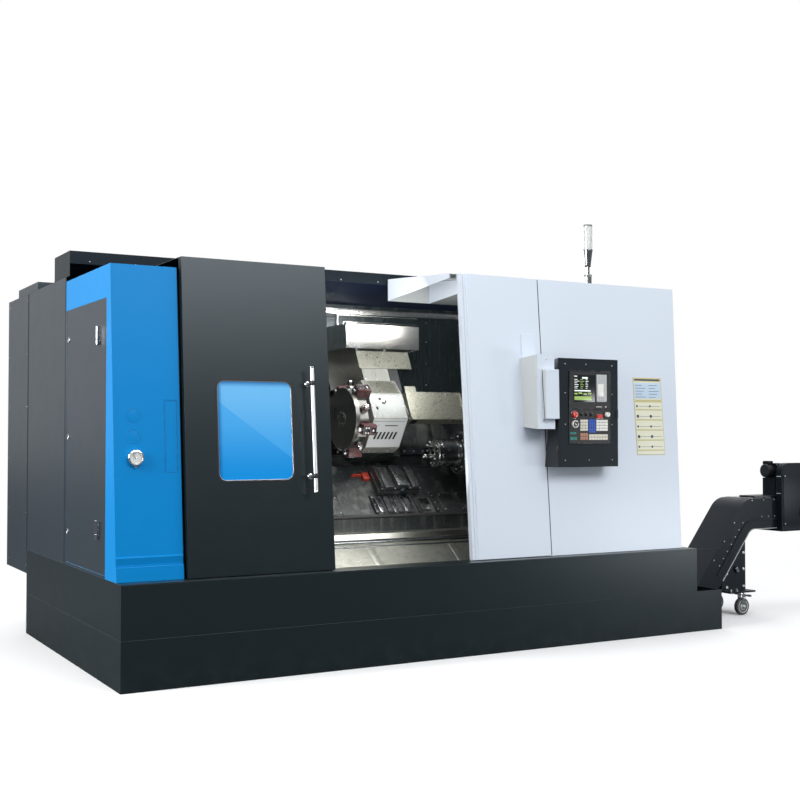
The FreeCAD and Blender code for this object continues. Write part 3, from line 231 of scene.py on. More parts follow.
def make_flakes():
    """Irregular cells: zinc spangle when large, the skin of a sand casting when small."""
    tree, given, end = effect("cell_flakes",
                              [("Color", "Color", (0.6, 0.6, 0.6, 1)),
                               ("Other Color", "Color", (0.5, 0.5, 0.5, 1)), ("Scale", "Float", 60.0),
                               ("Roughness", "Float", 0.4)],
                              [("Color", "Color"), ("Roughness", "Float"), ("Height", "Float")])
    place = add(tree, "TexCoord").outputs["Object"]
    cells = add(tree, "TexVoronoi", {"Vector": place, "Scale": given["Scale"], "Randomness": 1.0})
    pick = add(tree, "SeparateColor", {0: cells.outputs["Color"]}).outputs[0]
    rough = calc(tree, "ADD", given["Roughness"],
                 calc(tree, "MULTIPLY", calc(tree, "SUBTRACT", pick, 0.5), 0.2), True)
    height = calc(tree, "MULTIPLY", cells.outputs["Distance"], calc(tree, "ADD", pick, 0.5))
    give(tree, end, Color=blend_colour(tree, pick, given["Color"], given["Other Color"]), Roughness=rough,
         Height=height)
    return tree


EFFECTS = {"peel": make_peel(), "edges": make_edges(), "dust": make_dust(), "runs": make_runs(),
           "brush": make_brush(), "flakes": make_flakes()}


def put(tree, name, **inputs):
    """Place a shared effect in a material."""
    node = tree.nodes.new("ShaderNodeGroup")
    node.node_tree = EFFECTS[name]
    for socket, value in inputs.items():
        target = node.inputs[socket.replace("_", " ")]
        if isinstance(value, bpy.types.NodeSocket):
            tree.links.new(value, target)
        else:
            target.default_value = value
    return node.outputs


def new_finish(name, **sockets):
    """Start a material, with constants set on its shader's sockets."""
    material = bpy.data.materials.new(name)
    material.use_nodes = True
    tree = material.node_tree
    shader = tree.nodes["Principled BSDF"]
    for socket, value in sockets.items():
        shader.inputs[socket.replace("_", " ")].default_value = value
    return material, tree, shader


def join_up(tree, shader, colour, roughness, height=None, normal=None, strength=0.1, distance=0.0005):
    """Feed a shader's colour, roughness and, through a bump, its normal."""
    tree.links.new(colour, shader.inputs["Base Color"])
    if roughness is not None:
        tree.links.new(roughness, shader.inputs["Roughness"])
    if height is not None:
        inputs = {"Height": height, "Strength": strength, "Distance": distance}
        if normal is not None:
            inputs["Normal"] = normal
        normal = add(tree, "Bump", inputs).outputs[0]
    if normal is not None:
        tree.links.new(normal, shader.inputs["Normal"])


def powder_coat(name, colour, edge, roughness=0.36, shade=0.06, dust=0.16, radius=0.003, runs=0.0,
                amount=0.35, shine=0.5):
    """Baked powder coat on folded sheet."""
    material, tree, shader = new_finish(name, Specular_IOR_Level=shine, Specular_Tint=(0.84, 0.93, 1.0, 1))
    peel = put(tree, "peel", Color=colour, Shade=shade, Roughness=roughness)
    edges = put(tree, "edges", Color=peel["Color"], Edge_Color=edge, Radius=radius, Amount=amount)
    worn = put(tree, "dust", Color=edges["Color"], Amount=dust, Roughness=peel["Roughness"])
    if runs:
        worn = put(tree, "runs", Color=worn["Color"], Amount=runs, Roughness=worn["Roughness"],
                   Run_Color=tuple(c * 0.45 for c in colour[:3]) + (1.0,))
    join_up(tree, shader, worn["Color"], worn["Roughness"], peel["Height"], edges["Normal"], 0.06, 0.0004)
    return material


def brushed(name, colour, direction, roughness=0.28, contrast=0.25, runs=0.0, radius=0.0012):
    """Brushed, ground or turned bare metal."""
    material, tree, shader = new_finish(name, Metallic=1.0)
    lines = put(tree, "brush", Color=colour, Direction=direction, Contrast=contrast, Roughness=roughness)
    edges = put(tree, "edges", Color=lines["Color"], Edge_Color=(0.92, 0.92, 0.9, 1), Radius=radius,
                Amount=0.6)
    last = edges["Color"], lines["Roughness"]
    if runs:
        worn = put(tree, "runs", Color=edges["Color"], Amount=runs, Roughness=lines["Roughness"])
        last = worn["Color"], worn["Roughness"]
    join_up(tree, shader, last[0], last[1], lines["Height"], edges["Normal"], 0.05, 0.0003)
    return material


def flaked(name, colour, other, scale, metallic, roughness, bump, coat=0.0, runs=0.25):
    """Zinc spangle or the painted skin of a casting."""
    material, tree, shader = new_finish(name, Metallic=metallic, Coat_Weight=coat, Coat_Roughness=0.15)
    cells = put(tree, "flakes", Color=colour, Other_Color=other, Scale=scale, Roughness=roughness)
    edges = put(tree, "edges", Color=cells["Color"], Edge_Color=(0.75, 0.75, 0.72, 1), Radius=0.002,
                Amount=0.5)
    worn = put(tree, "runs", Color=edges["Color"], Amount=runs, Roughness=cells["Roughness"])
    join_up(tree, shader, worn["Color"], worn["Roughness"], cells["Height"], edges["Normal"], bump, 0.0006)
    return material


def moulded(name, colour, roughness=0.35, grain=900.0, coat=0.0, bump=0.08):
    """Moulded plastic or rubber."""
    material, tree, shader = new_finish(name, Coat_Weight=coat, Coat_Roughness=0.08)
    skin = put(tree, "peel", Color=colour, Shade=0.05, Roughness=roughness, Grain=grain)
    pale = tuple(min(1.0, c * 1.8 + 0.04) for c in colour[:3]) + (1.0,)
    edges = put(tree, "edges", Color=skin["Color"], Edge_Color=pale, Radius=0.0007, Amount=0.3)
    join_up(tree, shader, edges["Color"], skin["Roughness"], skin["Height"], edges["Normal"], bump, 0.0003)
    return material


def window_film_painted_light():
    """Blue reflective film on the door glass, with a painted reflection that makes it deeper low down and
    paler above a slanting line, and a painted shadow of the recess along its top and left rim.
    """
    material, tree, shader = new_finish("blue_door_glass_painted_light", Coat_Weight=0.6, Coat_Roughness=0.03, IOR=1.45)
    place = add(tree, "SeparateXYZ", {0: add(tree, "TexCoord").outputs["Object"]})
    height = place.outputs[2]
    # painted reflection: the glass brightens upward and turns paler above a slanting line
    line = calc(tree, "ADD", height, calc(tree, "MULTIPLY", place.outputs[0], 0.72))
    deep = blend_colour(tree, spread(tree, height, 1.08, 1.5), srgb(12, 146, 226), srgb(76, 174, 241))
    pale = blend_colour(tree, spread(tree, height, 1.2, 1.62), srgb(66, 168, 238), srgb(112, 192, 246))
    tone = blend_colour(tree, spread(tree, line, 0.423, 0.429), deep, pale)
    # painted shadow of the recessed frame, darkening the glass along its top and left rim
    rim = calc(tree, "MAXIMUM", spread(tree, height, 1.598, 1.634),
               spread(tree, place.outputs[0], -1.522, -1.492, 1.0, 0.0))
    tone = blend_colour(tree, calc(tree, "MULTIPLY", rim, 0.8), tone, srgb(14, 108, 182))
    skin = put(tree, "peel", Color=tone, Shade=0.03, Roughness=0.06, Grain=6.0)
    join_up(tree, shader, skin["Color"], skin["Roughness"], skin["Height"], None, 0.02, 0.001)
    return material


def glowing(name, colour, strength):
    """Lit display or lamp cover, a little uneven as real backlights are."""
    material, tree, shader = new_finish(name, Roughness=0.2, Emission_Strength=strength)
    skin = put(tree, "peel", Color=colour, Shade=0.12, Roughness=0.2)
    tree.links.new(skin["Color"], shader.inputs["Base Color"])
    tree.links.new(skin["Color"], shader.inputs["Emission Color"])
    return material


def lens_glass(name, colour, clear=0.55, bend=1.45):
    """Clear cover with faint moulded rings."""
    material, tree, shader = new_finish(name, Transmission_Weight=clear, IOR=bend, Coat_Weight=0.3)
    lines = put(tree, "brush", Color=colour, Direction=(1.0, 1.0, 90.0), Contrast=0.1, Roughness=0.12)
    join_up(tree, shader, lines["Color"], lines["Roughness"], lines["Height"], None, 0.2, 0.0008)
    return material


UP_LINES = (60.0, 60.0, 1.0)
LONG_LINES = (1.0, 60.0, 60.0)

graphite = powder_coat("graphite_coat", srgb(20, 30, 33), srgb(84, 96, 100), 0.3, dust=0.03, shine=0.46)
side_grey = powder_coat("side_grey_coat", srgb(40, 50, 58), srgb(104, 114, 122), 0.34, dust=0.04, shine=0.52)
column_blue = powder_coat("column_blue_coat", srgb(8, 130, 200), srgb(110, 190, 240), 0.34, shade=0.02,
                          dust=0.03, shine=0.12)
door_white = powder_coat("door_white_coat", srgb(214, 223, 235), srgb(246, 248, 252), 0.32, shade=0.01,
                         dust=0.03)
box_coat = powder_coat("control_box_coat", srgb(30, 36, 42), srgb(90, 100, 106), 0.42, radius=0.002,
                       dust=0.04, shine=0.14)
liner_coat = powder_coat("liner_coat", srgb(36, 44, 46), srgb(150, 156, 152), 0.26, dust=0.15, runs=0.4,
                         radius=0.003, amount=0.6)
header_navy = powder_coat("header_navy_coat", srgb(22, 34, 62), srgb(90, 104, 130), 0.4, dust=0.12)
conveyor_coat = powder_coat("conveyor_coat", srgb(24, 30, 37), srgb(110, 122, 130), 0.32, dust=0.03, runs=0.1,
                            shine=0.12)
roof_coat = powder_coat("roof_coat", srgb(24, 32, 38), srgb(84, 96, 100), 0.34, dust=0.04, shine=0.12)
turret_white = powder_coat("turret_white_enamel", srgb(132, 133, 128), srgb(245, 245, 240), 0.26, runs=0.18,
                           radius=0.002)
stainless = brushed("brushed_stainless", srgb(246, 246, 242), LONG_LINES, 0.24, 0.22)
pan_steel = brushed("pan_stainless", srgb(190, 190, 180), LONG_LINES, 0.3, 0.3, runs=0.4)
turned_steel = brushed("turned_steel", srgb(150, 154, 154), LONG_LINES, 0.24, 0.3, runs=0.2)
disc_steel = brushed("ground_disc_steel", srgb(128, 128, 124), UP_LINES, 0.34, 0.35, runs=0.15)
way_steel = brushed("ground_way_steel", srgb(140, 144, 146), LONG_LINES, 0.2, 0.25, runs=0.3)
chrome = brushed("polished_chrome", srgb(228, 230, 232), UP_LINES, 0.08, 0.05)
satin_steel = brushed("satin_handle", srgb(240, 241, 243), UP_LINES, 0.36, 0.05)
screw_zinc = brushed("zinc_screws", srgb(196, 198, 196), UP_LINES, 0.3, 0.15, radius=0.0005)
spangle = flaked("galvanised_sheet", srgb(150, 150, 138), srgb(126, 126, 116), 160.0, 0.75, 0.36, 0.08,
                 runs=0.2)
casting = flaked("painted_casting", srgb(38, 43, 44), srgb(27, 31, 32), 420.0, 0.0, 0.34, 0.3, coat=0.4,
                 runs=0.3)
oxide = flaked("red_oxide_block", srgb(92, 48, 50), srgb(74, 36, 40), 500.0, 0.1, 0.36, 0.15, coat=0.3)
black_steel = flaked("blackened_steel", srgb(34, 36, 42), srgb(24, 26, 32), 600.0, 0.6, 0.3, 0.1)
black_plastic = moulded("black_moulding", srgb(20, 22, 25), 0.42)
dark_hole = moulded("dark_recess", srgb(8, 9, 11), 0.7)
white_plastic = moulded("white_moulding", srgb(232, 232, 226), 0.3, coat=0.4)
red_plastic = moulded("red_moulding", srgb(206, 40, 30), 0.24, coat=0.6)
blue_key = moulded("blue_keys", srgb(28, 84, 190), 0.35)
beige_key = moulded("beige_keys", srgb(224, 220, 206), 0.4)
brown_key = moulded("brown_keys", srgb(176, 128, 104), 0.4)
green_key = moulded("green_keys", srgb(18, 122, 112), 0.35)
# grey for painted shade on the white canopy's underside and inner rear wall
canopy_painted_shade = moulded("canopy_underside_painted_shade", srgb(150, 154, 156), 0.45)
pale_grey = moulded("pale_grey_panel", srgb(188, 192, 192), 0.4)
rubber = moulded("seal_rubber", srgb(22, 23, 24), 0.6, 300.0, bump=0.2)
tyre = moulded("caster_tyre", srgb(70, 70, 70), 0.55, 240.0, bump=0.2)
wiper_red = moulded("red_wiper", srgb(140, 42, 26), 0.45)
plate_cream = moulded("plate_cream", srgb(226, 226, 204), 0.35)
plate_ochre = moulded("plate_ochre", srgb(198, 190, 140), 0.35)
plate_sky = moulded("plate_sky", srgb(196, 216, 234), 0.35)
plate_ink = moulded("plate_ink", srgb(54, 66, 92), 0.4)
door_glass = window_film_painted_light()
beacon_glass = lens_glass("signal_lens", srgb(246, 249, 247))
gauge_glass = lens_glass("gauge_glass", srgb(240, 244, 246), 1.0, 1.08)
screen_dark = glowing("screen_off_area", srgb(14, 20, 24), 0.3)
screen_green = glowing("screen_green", srgb(126, 150, 84), 0.9)
screen_pale = glowing("screen_pale", srgb(206, 214, 206), 0.9)
lamp_cover = glowing("lamp_cover", srgb(240, 246, 250), 4.0)

NODE_FINISHES = (
    (graphite, "base_tray upper_skirt left_door"),
    (casting, "bed_casting headstock sub_spindle_housing saddle turret_slide lower_slide"),
    (way_steel, "bed_rails"),
    (column_blue, "left_column_cover"),
    (side_grey, "left_side_panel rear_panel electrical_cabinet side_door_hinges side_door "
                "cabinet_door"),
    (liner_coat, "pocket_panels liner_panels"),
    (door_white, "right_front_panel right_end_panel right_door right_door_canopy right_door_grip"),
    (roof_coat, "roof_housing"),
    (pan_steel, "chip_pan"),
    (chrome, "beacon_base pressure_gauge caster_fork_1 caster_fork_2"),
    (beacon_glass, "beacon_lens"),
    (box_coat, "control_box"),
    (black_plastic, "control_screen control_keypad"),
    (conveyor_coat, "conveyor_trough conveyor_head conveyor_motor conveyor_leg"),
    (door_glass, "left_door_window"),
    (satin_steel, "left_door_handle"),
    (turned_steel, "main_chuck sub_chuck main_jaw_1 main_jaw_2 main_jaw_3 sub_jaw_1 sub_jaw_2 sub_jaw_3"),
    (spangle, "z_cover cover_segment"),
    (stainless, "x_cover"),
    (turret_white, "turret_housing"),
    (disc_steel, "turret_disc"),
    (oxide, "tool_holders"),
    (red_plastic, "estop_button cycle_button"),
    (white_plastic, "mpg_dial feed_knob"),
    (tyre, "caster_wheel_1 caster_wheel_2"),
)


def coat_nodes():
    """Give every CAD node its one finish."""
    for finish, names in NODE_FINISHES:
        for name in names.split():
            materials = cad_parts[name].data.materials
            materials.clear()
            materials.append(finish)


def coat_faces(name, finish, wanted):
    """Give one finish to the faces of a node whose middle, in millimetres, passes a test."""
    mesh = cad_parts[name].data
    mesh.materials.append(finish)
    for face in mesh.polygons:
        middle = (face.center - corner) * 1000
        if wanted(middle, face.normal):
            face.material_index = len(mesh.materials) - 1


# ---- mesh building ----

def on_face(point, up=UP, right=RIGHT):
    """A face's own axes: x to the right, y up the face and z out of it."""
    right, up = Vector(right).normalized(), Vector(up).normalized()
    out = right.cross(up)
    turn = Matrix((right, up, out)).transposed().to_4x4()
    return Matrix.Translation(point) @ turn


def leaning(set_back=0.0):
    """The axes of a leaning front that lies behind the front's plane."""
    return on_face(at(0, FRONT_SET_BACK + set_back, BASE_TOP), (0, math.sin(LEAN), math.cos(LEAN)))


def up_front(z):
    """How far up a leaning front the height z above the floor is."""
    return (z - BASE_TOP) / math.cos(LEAN)


def slope_point(s, n, x=0.0):
    """The point s up the slope from the spindle's axis and n out of it."""
    return at(x, SPINDLE_Y + s * math.cos(SLANT) - n * math.sin(SLANT),
              SPINDLE_Z + s * math.sin(SLANT) + n * math.cos(SLANT))


BLUE_FACE = leaning(BLUE_SET_BACK)
LEFT_DOOR_FACE = leaning()
WHITE_FACE = leaning(WHITE_SET_BACK)
BOX_FACE = on_face(at(0, -8, 0))
SLANT_FACE = on_face(slope_point(0, 0), UP_SLOPE)
LOW_FACE = on_face(at(0, 780, 800), (0, 1, 1))
LEFT_SIDE = on_face(at(0, 0, 0), UP, FRONT)
REAR_SIDE = on_face(at(0, BASE_DEPTH, 0), UP, LEFT)
RIGHT_SIDE = on_face(at(BASE_LENGTH, 0, 0), UP, BACK)
BACK_WALL = on_face(at(0, 1520, 0))

PAN_HEAD = ((1, 0), (1, 0.3), (0.82, 0.58), (0.45, 0.74), (0, 0.78))
SOCKET_HEAD = ((1, 0), (1, 0.85), (0.9, 1), (0.55, 1), (0.52, 0.45), (0, 0.4))


class Piece:
    """Gathers the shapes of one piece, drawn in millimetres on a face's axes."""

    def __init__(self, name, body, *finishes):
        self.name, self.body, self.finishes = name, body, finishes
        self.mesh = bmesh.new()
        self.place = Matrix.Identity(4)

    def on(self, place):
        """Draw what follows on a face's axes."""
        self.place = place
        return self

    def face(self, x, y, z, up=UP, right=RIGHT):
        """Draw what follows on the face through a point in millimetres."""
        return self.on(on_face(at(x, y, z), up, right))

    def spot(self, x, y, z):
        return self.place @ (Vector((x, y, z)) / 1000)

    def bar(self, x0, x1, y0, y1, z0, z1, finish=0, soft=0.8):
        """A block with softened edges."""
        shape = bmesh.ops.create_cube(self.mesh, size=1.0)
        size = Matrix.Diagonal((x1 - x0, y1 - y0, z1 - z0, 1000)) * 0.001
        middle = self.spot((x0 + x1) / 2, (y0 + y1) / 2, (z0 + z1) / 2)
        turn = self.place.to_3x3().to_4x4()
        bmesh.ops.transform(self.mesh, matrix=Matrix.Translation(middle) @ turn @ size, verts=shape["verts"])
        faces = {f for v in shape["verts"] for f in v.link_faces}
        for face in faces:
            face.material_index = finish
        soft = min(soft, 0.3 * min(abs(x1 - x0), abs(y1 - y0), abs(z1 - z0))) / 1000
        edges = list({e for f in faces for e in f.edges})
        made = bmesh.ops.bevel(self.mesh, geom=edges, offset=soft, segments=2, profile=0.7, affect="EDGES")
        for face in made["faces"]:
            face.material_index = finish
        return self

    def turned(self, x, y, outline, z=0.0, finish=0, sides=20, axis=None, scale=1.0):
        """A round shape: (radius, height) points turned about an axis out of the face."""
        turn = Matrix.Identity(3)
        if axis is not None:
            turn = Vector((0, 0, 1)).rotation_difference(Vector(axis)).to_matrix()
        rings = []
        for radius, height in outline:
            count = 1 if radius == 0 else sides
            ring = []
            for i in range(count):
                a = 2 * math.pi * i / sides
                p = turn @ Vector((radius * math.cos(a), radius * math.sin(a), height)) * scale
                ring.append(self.mesh.verts.new(self.spot(x + p.x, y + p.y, z + p.z)))
            rings.append(ring)
        for low, high in zip(rings, rings[1:]):
            for i in range(sides):
                j = (i + 1) % sides
                loop = [low[i % len(low)], low[j % len(low)], high[j % len(high)], high[i % len(high)]]
                loop = list(dict.fromkeys(loop))
                if len(loop) > 2:
                    self.mesh.faces.new(loop).material_index = finish
        return self

    def dot(self, x, y, radius, height, z=0.0, finish=0, sides=20):
        """A plain round disc."""
        return self.turned(x, y, ((radius, 0), (radius, height), (0, height)), z, finish, sides)

    def ring_plate(self, outer, inner, z0, z1, finish=0):
        """A flat frame between two outlines with the same number of points."""
        loops = [[self.mesh.verts.new(self.spot(px, py, z)) for px, py in outline]
                 for outline, z in ((outer, z0), (outer, z1), (inner, z1), (inner, z0))]
        count = len(outer)
        for a, b in zip(loops, loops[1:] + loops[:1]):
            for i in range(count):
                j = (i + 1) % count
                self.mesh.faces.new((a[i], a[j], b[j], b[i])).material_index = finish
        return self

    def cut_plate(self, outline, z0, z1, finish=0):
        """A flat plate of any outline."""
        low = [self.mesh.verts.new(self.spot(px, py, z0)) for px, py in outline]
        high = [self.mesh.verts.new(self.spot(px, py, z1)) for px, py in outline]
        self.mesh.faces.new(low[::-1]).material_index = finish
        self.mesh.faces.new(high).material_index = finish
        for i in range(len(low)):
            j = (i + 1) % len(low)
            self.mesh.faces.new((low[i], low[j], high[j], high[i])).material_index = finish
        return self

    def spoke(self, x, y, angle, out, back, half, z0, z1, finish=0):
        """A thin bar along a radius round x, y, between two distances from it."""
        u = Vector((math.cos(math.radians(angle)), math.sin(math.radians(angle))))
        v = Vector((-u.y, u.x)) * half
        ends = (u * out + v, u * out - v, u * back - v, u * back + v)
        return self.cut_plate([(x + e.x, y + e.y) for e in ends], z0, z1, finish)

    def screws(self, spots, radius, finish=0, head=PAN_HEAD, z=0.0):
        for x, y in spots:
            self.turned(x, y, head, z, finish, 12, scale=radius)
        return self

    def done(self):
        """Make the object and let it ride its body."""
        bmesh.ops.recalc_face_normals(self.mesh, faces=self.mesh.faces)
        data = bpy.data.meshes.new(self.name)
        self.mesh.to_mesh(data)
        self.mesh.free()
        for finish in self.finishes:
            data.materials.append(finish)
        data.shade_smooth()
        data.set_sharp_from_angle(angle=math.radians(32))
        thing = bpy.data.objects.new(self.name, data)
        bpy.context.scene.collection.objects.link(thing)
        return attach(thing, self.body)


def rounded(x0, x1, y0, y1, radius, steps=6):
    """Corner points of a rectangle with rounded corners."""
    points = []
    for cx, cy, start in ((x1 - radius, y1 - radius, 0), (x0 + radius, y1 - radius, 90),
                          (x0 + radius, y0 + radius, 180), (x1 - radius, y0 + radius, 270)):
        for i in range(steps + 1):
            a = math.radians(start + 90 * i / steps)
            points.append((cx + radius * math.cos(a), cy + radius * math.sin(a)))
    return points


def around(x, y, radius, count, first=0, step=None):
    """Points round a circle, starting at an angle in degrees."""
    turns = [math.radians(first + i * (360 / count if step is None else step)) for i in range(count)]
    return [(x + radius * math.cos(a), y + radius * math.sin(a)) for a in turns]


def steps(first, last, count):
    """Evenly spaced values, both ends included."""
    return [first + (last - first) * i / (count - 1) for i in range(count)]


def grid(across, up):
    return [(x, y) for x in across for y in up]


def bent_pipe(name, body, finish, radius, points):
    """A rigid pipe along smooth bends through the given points."""
    curve = bpy.data.curves.new(name, "CURVE")
    curve.dimensions = "3D"
    curve.bevel_depth = radius / 1000
    curve.bevel_resolution = 4
    curve.use_fill_caps = True
    line = curve.splines.new("NURBS")
    line.points.add(len(points) - 1)
    for knot, place in zip(line.points, points):
        knot.co = (*place, 1.0)
    line.order_u = 3
    line.use_endpoint_u = True
    holder = bpy.data.objects.new(name + "_line", curve)
    data = bpy.data.meshes.new_from_object(holder)
    bpy.data.objects.remove(holder)
    data.name = name
    data.materials.clear()
    data.materials.append(finish)
    data.shade_smooth()
    pipe = bpy.data.objects.new(name, data)
    bpy.context.scene.collection.objects.link(pipe)
    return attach(pipe, body)


# ---- doors and front ----

def window_bead():
    """Rubber glazing bead and its bright inner lip round the door glass."""
    bead = Piece("window_bead", "left_door", rubber, chrome).on(LEFT_DOOR_FACE)
    outer = rounded(566, 1031, 516, 1090, 50)
    inner = rounded(575, 1022, 525, 1081, 42)
    bead.ring_plate(outer, inner, -1, 2.2)
    bead.ring_plate(inner, rounded(578, 1019, 528, 1078, 39), -2.6, 0.8, 1)
    bead.done()


def handle_fittings():
    """Turned end caps, collars and fixing rosettes of the door handle."""
    caps = Piece("handle_fittings", "left_door", chrome, black_plastic).on(LEFT_DOOR_FACE)
    for z, side in ((447, -1), (1160, 1)):
        caps.turned(1127, z, ((12.8, -7), (13.4, -5), (13.4, 0.6), (12.2, 2.2), (7, 3.0), (0, 3.2)), 68, 0,
                    28, (0, side, 0))
    for z in (539, 1068):
        caps.turned(1127, z, ((17, 0), (17, 2.5), (15.5, 4.5), (10.5, 5.5), (10.2, 10)), 0, 0, 28)
        caps.turned(1127, z, ((14.2, -13), (14.8, -12), (14.8, 12), (14.2, 13)), 68, 1, 28, (0, 1, 0))
    caps.done()


def door_seals():
    """Rubber edge seals, inner stiffeners and screws of the two front doors."""
    left = Piece("left_door_trim", "left_door", rubber, graphite, screw_zinc).on(LEFT_DOOR_FACE)
    left.bar(1262.4, 1266.2, 20, 1750, -40, -6, 0, 1.5)
    for z in (300, 455, 1150, 1600):
        left.bar(392, 1260, z, z + 30, -40, -10, 1)
    left.bar(500, 530, 40, 1720, -42, -9, 1)
    left.screws([(x, 318) for x in steps(420, 1240, 6)], 4, 2, z=-8)
    left.done()
    right = Piece("right_door_trim", "right_door", pale_grey, door_white, screw_zinc).on(WHITE_FACE)
    right.bar(2223.2, 2227, 20, 1770, -41, -12, 1, 1.5)
    right.bar(2243, 2247, 12, 1788, -8.5, -6.8, 0, 0.5)
    for z in (300, 780, 1320, 1650):
        right.bar(2270, 2810, z, z + 30, -40, -10, 1)
    right.bar(2659, 2661, 1274, 1432, 1.4, 2.4, 1, 0.3)
    right.screws([(2234, z) for z in steps(90, 1720, 9)], 3.2, 2, z=-8)
    right.done()


def lock_details():
    """Split line, catch and finger lip of the lock housing on the white door."""
    lock = Piece("lock_details", "right_door", rubber, chrome, door_white).on(WHITE_FACE)
    lock.bar(2688, 2690.5, 858, 1176, 176, 180, 0, 0.4)
    lock.bar(2784, 2800, 1000, 1040, 60, 84, 1, 2)
    lock.bar(2700, 2782, 1160, 1166, 213, 215.2, 2, 0.8)
    for z, out in ((1240, 184), (845, 168)):
        lock.turned(2718, z, SOCKET_HEAD, out, 1, 14, scale=5)
    lock.done()


def blue_column_details():
    """Two raised blanking covers, the hatch's outline and the folded lip of the blue column."""
    blue = Piece("blue_column_details", "frame", column_blue, screw_zinc).on(BLUE_FACE)
    for z in (1441, 1329):
        blue.turned(106, up_front(z),
                    ((37, 0), (37, 1.6), (35.5, 2.4), (34, 1.6), (33.4, 0.4), (32, 0.6), (0, 0.9)), 0, 0, 40)
    blue.ring_plate(rounded(282.5, 350, 577, 966, 3), rounded(285, 347.5, 579.5, 963.5, 2), 0, 0.9)
    blue.on(LEFT_SIDE)
    fold = [(out - FRONT_SET_BACK - BLUE_SET_BACK - (z - BASE_TOP) * math.tan(LEAN), z)
            for z, out in ((694, 0), (688, 8), (646, -1), (646, -4), (694, -4))]
    blue.cut_plate(fold, -368, -4)
    blue.done()


def gauge_face():
    """White dial with its graduations, needle, boss and glass, in a polished bezel."""
    h = up_front(GAUGE_Z)
    dial = Piece("gauge_dial", "frame", white_plastic, plate_ink, red_plastic, chrome,
                 green_key).on(BLUE_FACE)
    dial.turned(GAUGE_X, h, ((0, 19.6), (33.5, 19.6), (34.5, 19.9), (34.8, 22)), 0, 0, 40)
    dial.turned(GAUGE_X, h,
                ((42.5, 1), (43.5, 3), (43.5, 18), (42.5, 23), (40, 25.6), (36, 26.2), (34.8, 24.5)), 0, 3,
                44)
    for i in range(25):
        deep, half = (6.5, 0.55) if i % 6 == 0 else (3.2, 0.3)
        dial.spoke(GAUGE_X, h, 225 - 270 * i / 24, 30.5, 30.5 - deep, half, 19.7, 20.1, 1 if i < 19 else 2)
    arc, back = (around(GAUGE_X, h, r, 10, 60, 8) for r in (24, 22.6))
    dial.cut_plate(arc + back[::-1], 19.7, 20.0, 4)
    dial.cut_plate([(113.6, h - 6), (116.4, h - 6), (115.5 - 16, h + 20), (115 - 17, h + 20)], 20.4, 21.0, 1)
    dial.turned(GAUGE_X, h, ((4, 19.7), (4, 21.6), (2.5, 22.4), (0, 22.4)), 0, 3, 20)
    dial.turned(GAUGE_X, h - 46, ((9, 0), (9, 14), (6, 16), (0, 16)), 0, 3, 6)
    dial.done()
    glass = Piece("gauge_glass", "frame", gauge_glass).on(BLUE_FACE)
    glass.turned(GAUGE_X, h, ((34.6, 23.2), (30, 24.0), (16, 24.7), (0, 24.9)), 0, 0, 40)
    glass.done()


def info_plate():
    """Lubrication chart without wording: a riveted plate of plain colour fields."""
    plate = Piece("info_plate", "frame", plate_cream, plate_ochre, plate_sky, plate_ink,
                  screw_zinc).on(WHITE_FACE)
    x0, x1 = 3575, 3823
    z0, z1 = 639, 1166
    plate.bar(x0, x1, z0, z1, 0, 1.6, 1, 0.5)
    plate.bar(x0 + 5, x1 - 5, z0 + 5, z1 - 28, 1.4, 2.2, 0, 0.3)
    plate.bar(x0 + 12, x1 - 12, z1 - 20, z1 - 9, 1.5, 2.0, 3, 0.2)
    top = z1 - 34
    plate.bar(x0 + 8, x1 - 8, top - 110, top, 2.0, 2.7, 2, 0.2)
    for row in range(5):
        for half in (0, 1):
            wide = 70 + 18 * ((row * 2 + half) % 3)
            left = x0 + 16 + half * 118
            plate.bar(left, left + wide * 0.85, top - 20 - row * 20, top - 17 - row * 20, 2.6, 3.0, 3, 0.1)
    plate.bar(x0 + 8, x1 - 8, top - 134, top - 116, 2.0, 2.5, 1, 0.2)
    line = (top - 140 - z0 - 8) / 10
    for row in range(10):
        high = top - 140 - row * line
        if row % 2:
            plate.bar(x0 + 8, x1 - 8, high - line * 0.45, high, 2.0, 2.4, 1, 0.2)
            continue
        plate.bar(x0 + 8, x1 - 8, high - line * 1.2, high - line * 0.1, 2.0, 2.5, 0, 0.2)
        plate.bar(x0 + 40, x1 - 20, high - line * 0.66, high - line * 0.6, 2.4, 2.8, 3, 0.1)
        for left in (x0 + 14, x0 + 128):
            size = 8 + 3 * ((row // 2) % 2)
            plate.dot(left + size, high - line * 0.62, size, 0.6, 2.4, 3, 14)
    plate.screws(grid((x0 + 4.5, x1 - 4.5), (z0 + 5, (z0 + z1) / 2, z1 - 5)), 3, 4, z=1.2)
    plate.done()


def white_panel_details():
    """Seam filler, bottom screws and roof screws of the white front."""
    trim = Piece("white_panel_details", "frame", rubber, screw_zinc, door_white).on(WHITE_FACE)
    trim.bar(2816.3, 2817.7, 6, 1790, -36, -6, 0, 0.3)
    trim.bar(2817.4, 2821.5, 6, 1790, -0.5, 0.8, 0, 0.2)
    trim.bar(2822, 3910, 0, 2, -0.5, 1.2, 0, 0.3)
    trim.face(0, 0, 2349.7, BACK)
    trim.screws(grid(steps(2900, 3900, 6), (300, 1060)), 5, 1)
    trim.done()


# ---- control box ----

BOX_SCREWS = ((2856, 1786), (3024, 1786), (3236, 1782), (2856, 1600), (3236, 1596), (2856, 1400),
              (3236, 1400), (2856, 1172), (3046, 1172), (3236, 1172))


def key_field(piece, x0, x1, z0, z1, across, down, finish, z=4.0, gap=2.4):
    """Rows of separate square keys with dished tops."""
    wide, high = (x1 - x0) / across, (z1 - z0) / down
    for i in range(across):
        for j in range(down):
            a, b = x0 + i * wide, z0 + j * high
            piece.bar(a + gap / 2, a + wide - gap / 2, b + gap / 2, b + high - gap / 2, z, z + 2.4, finish,
                      1.1)


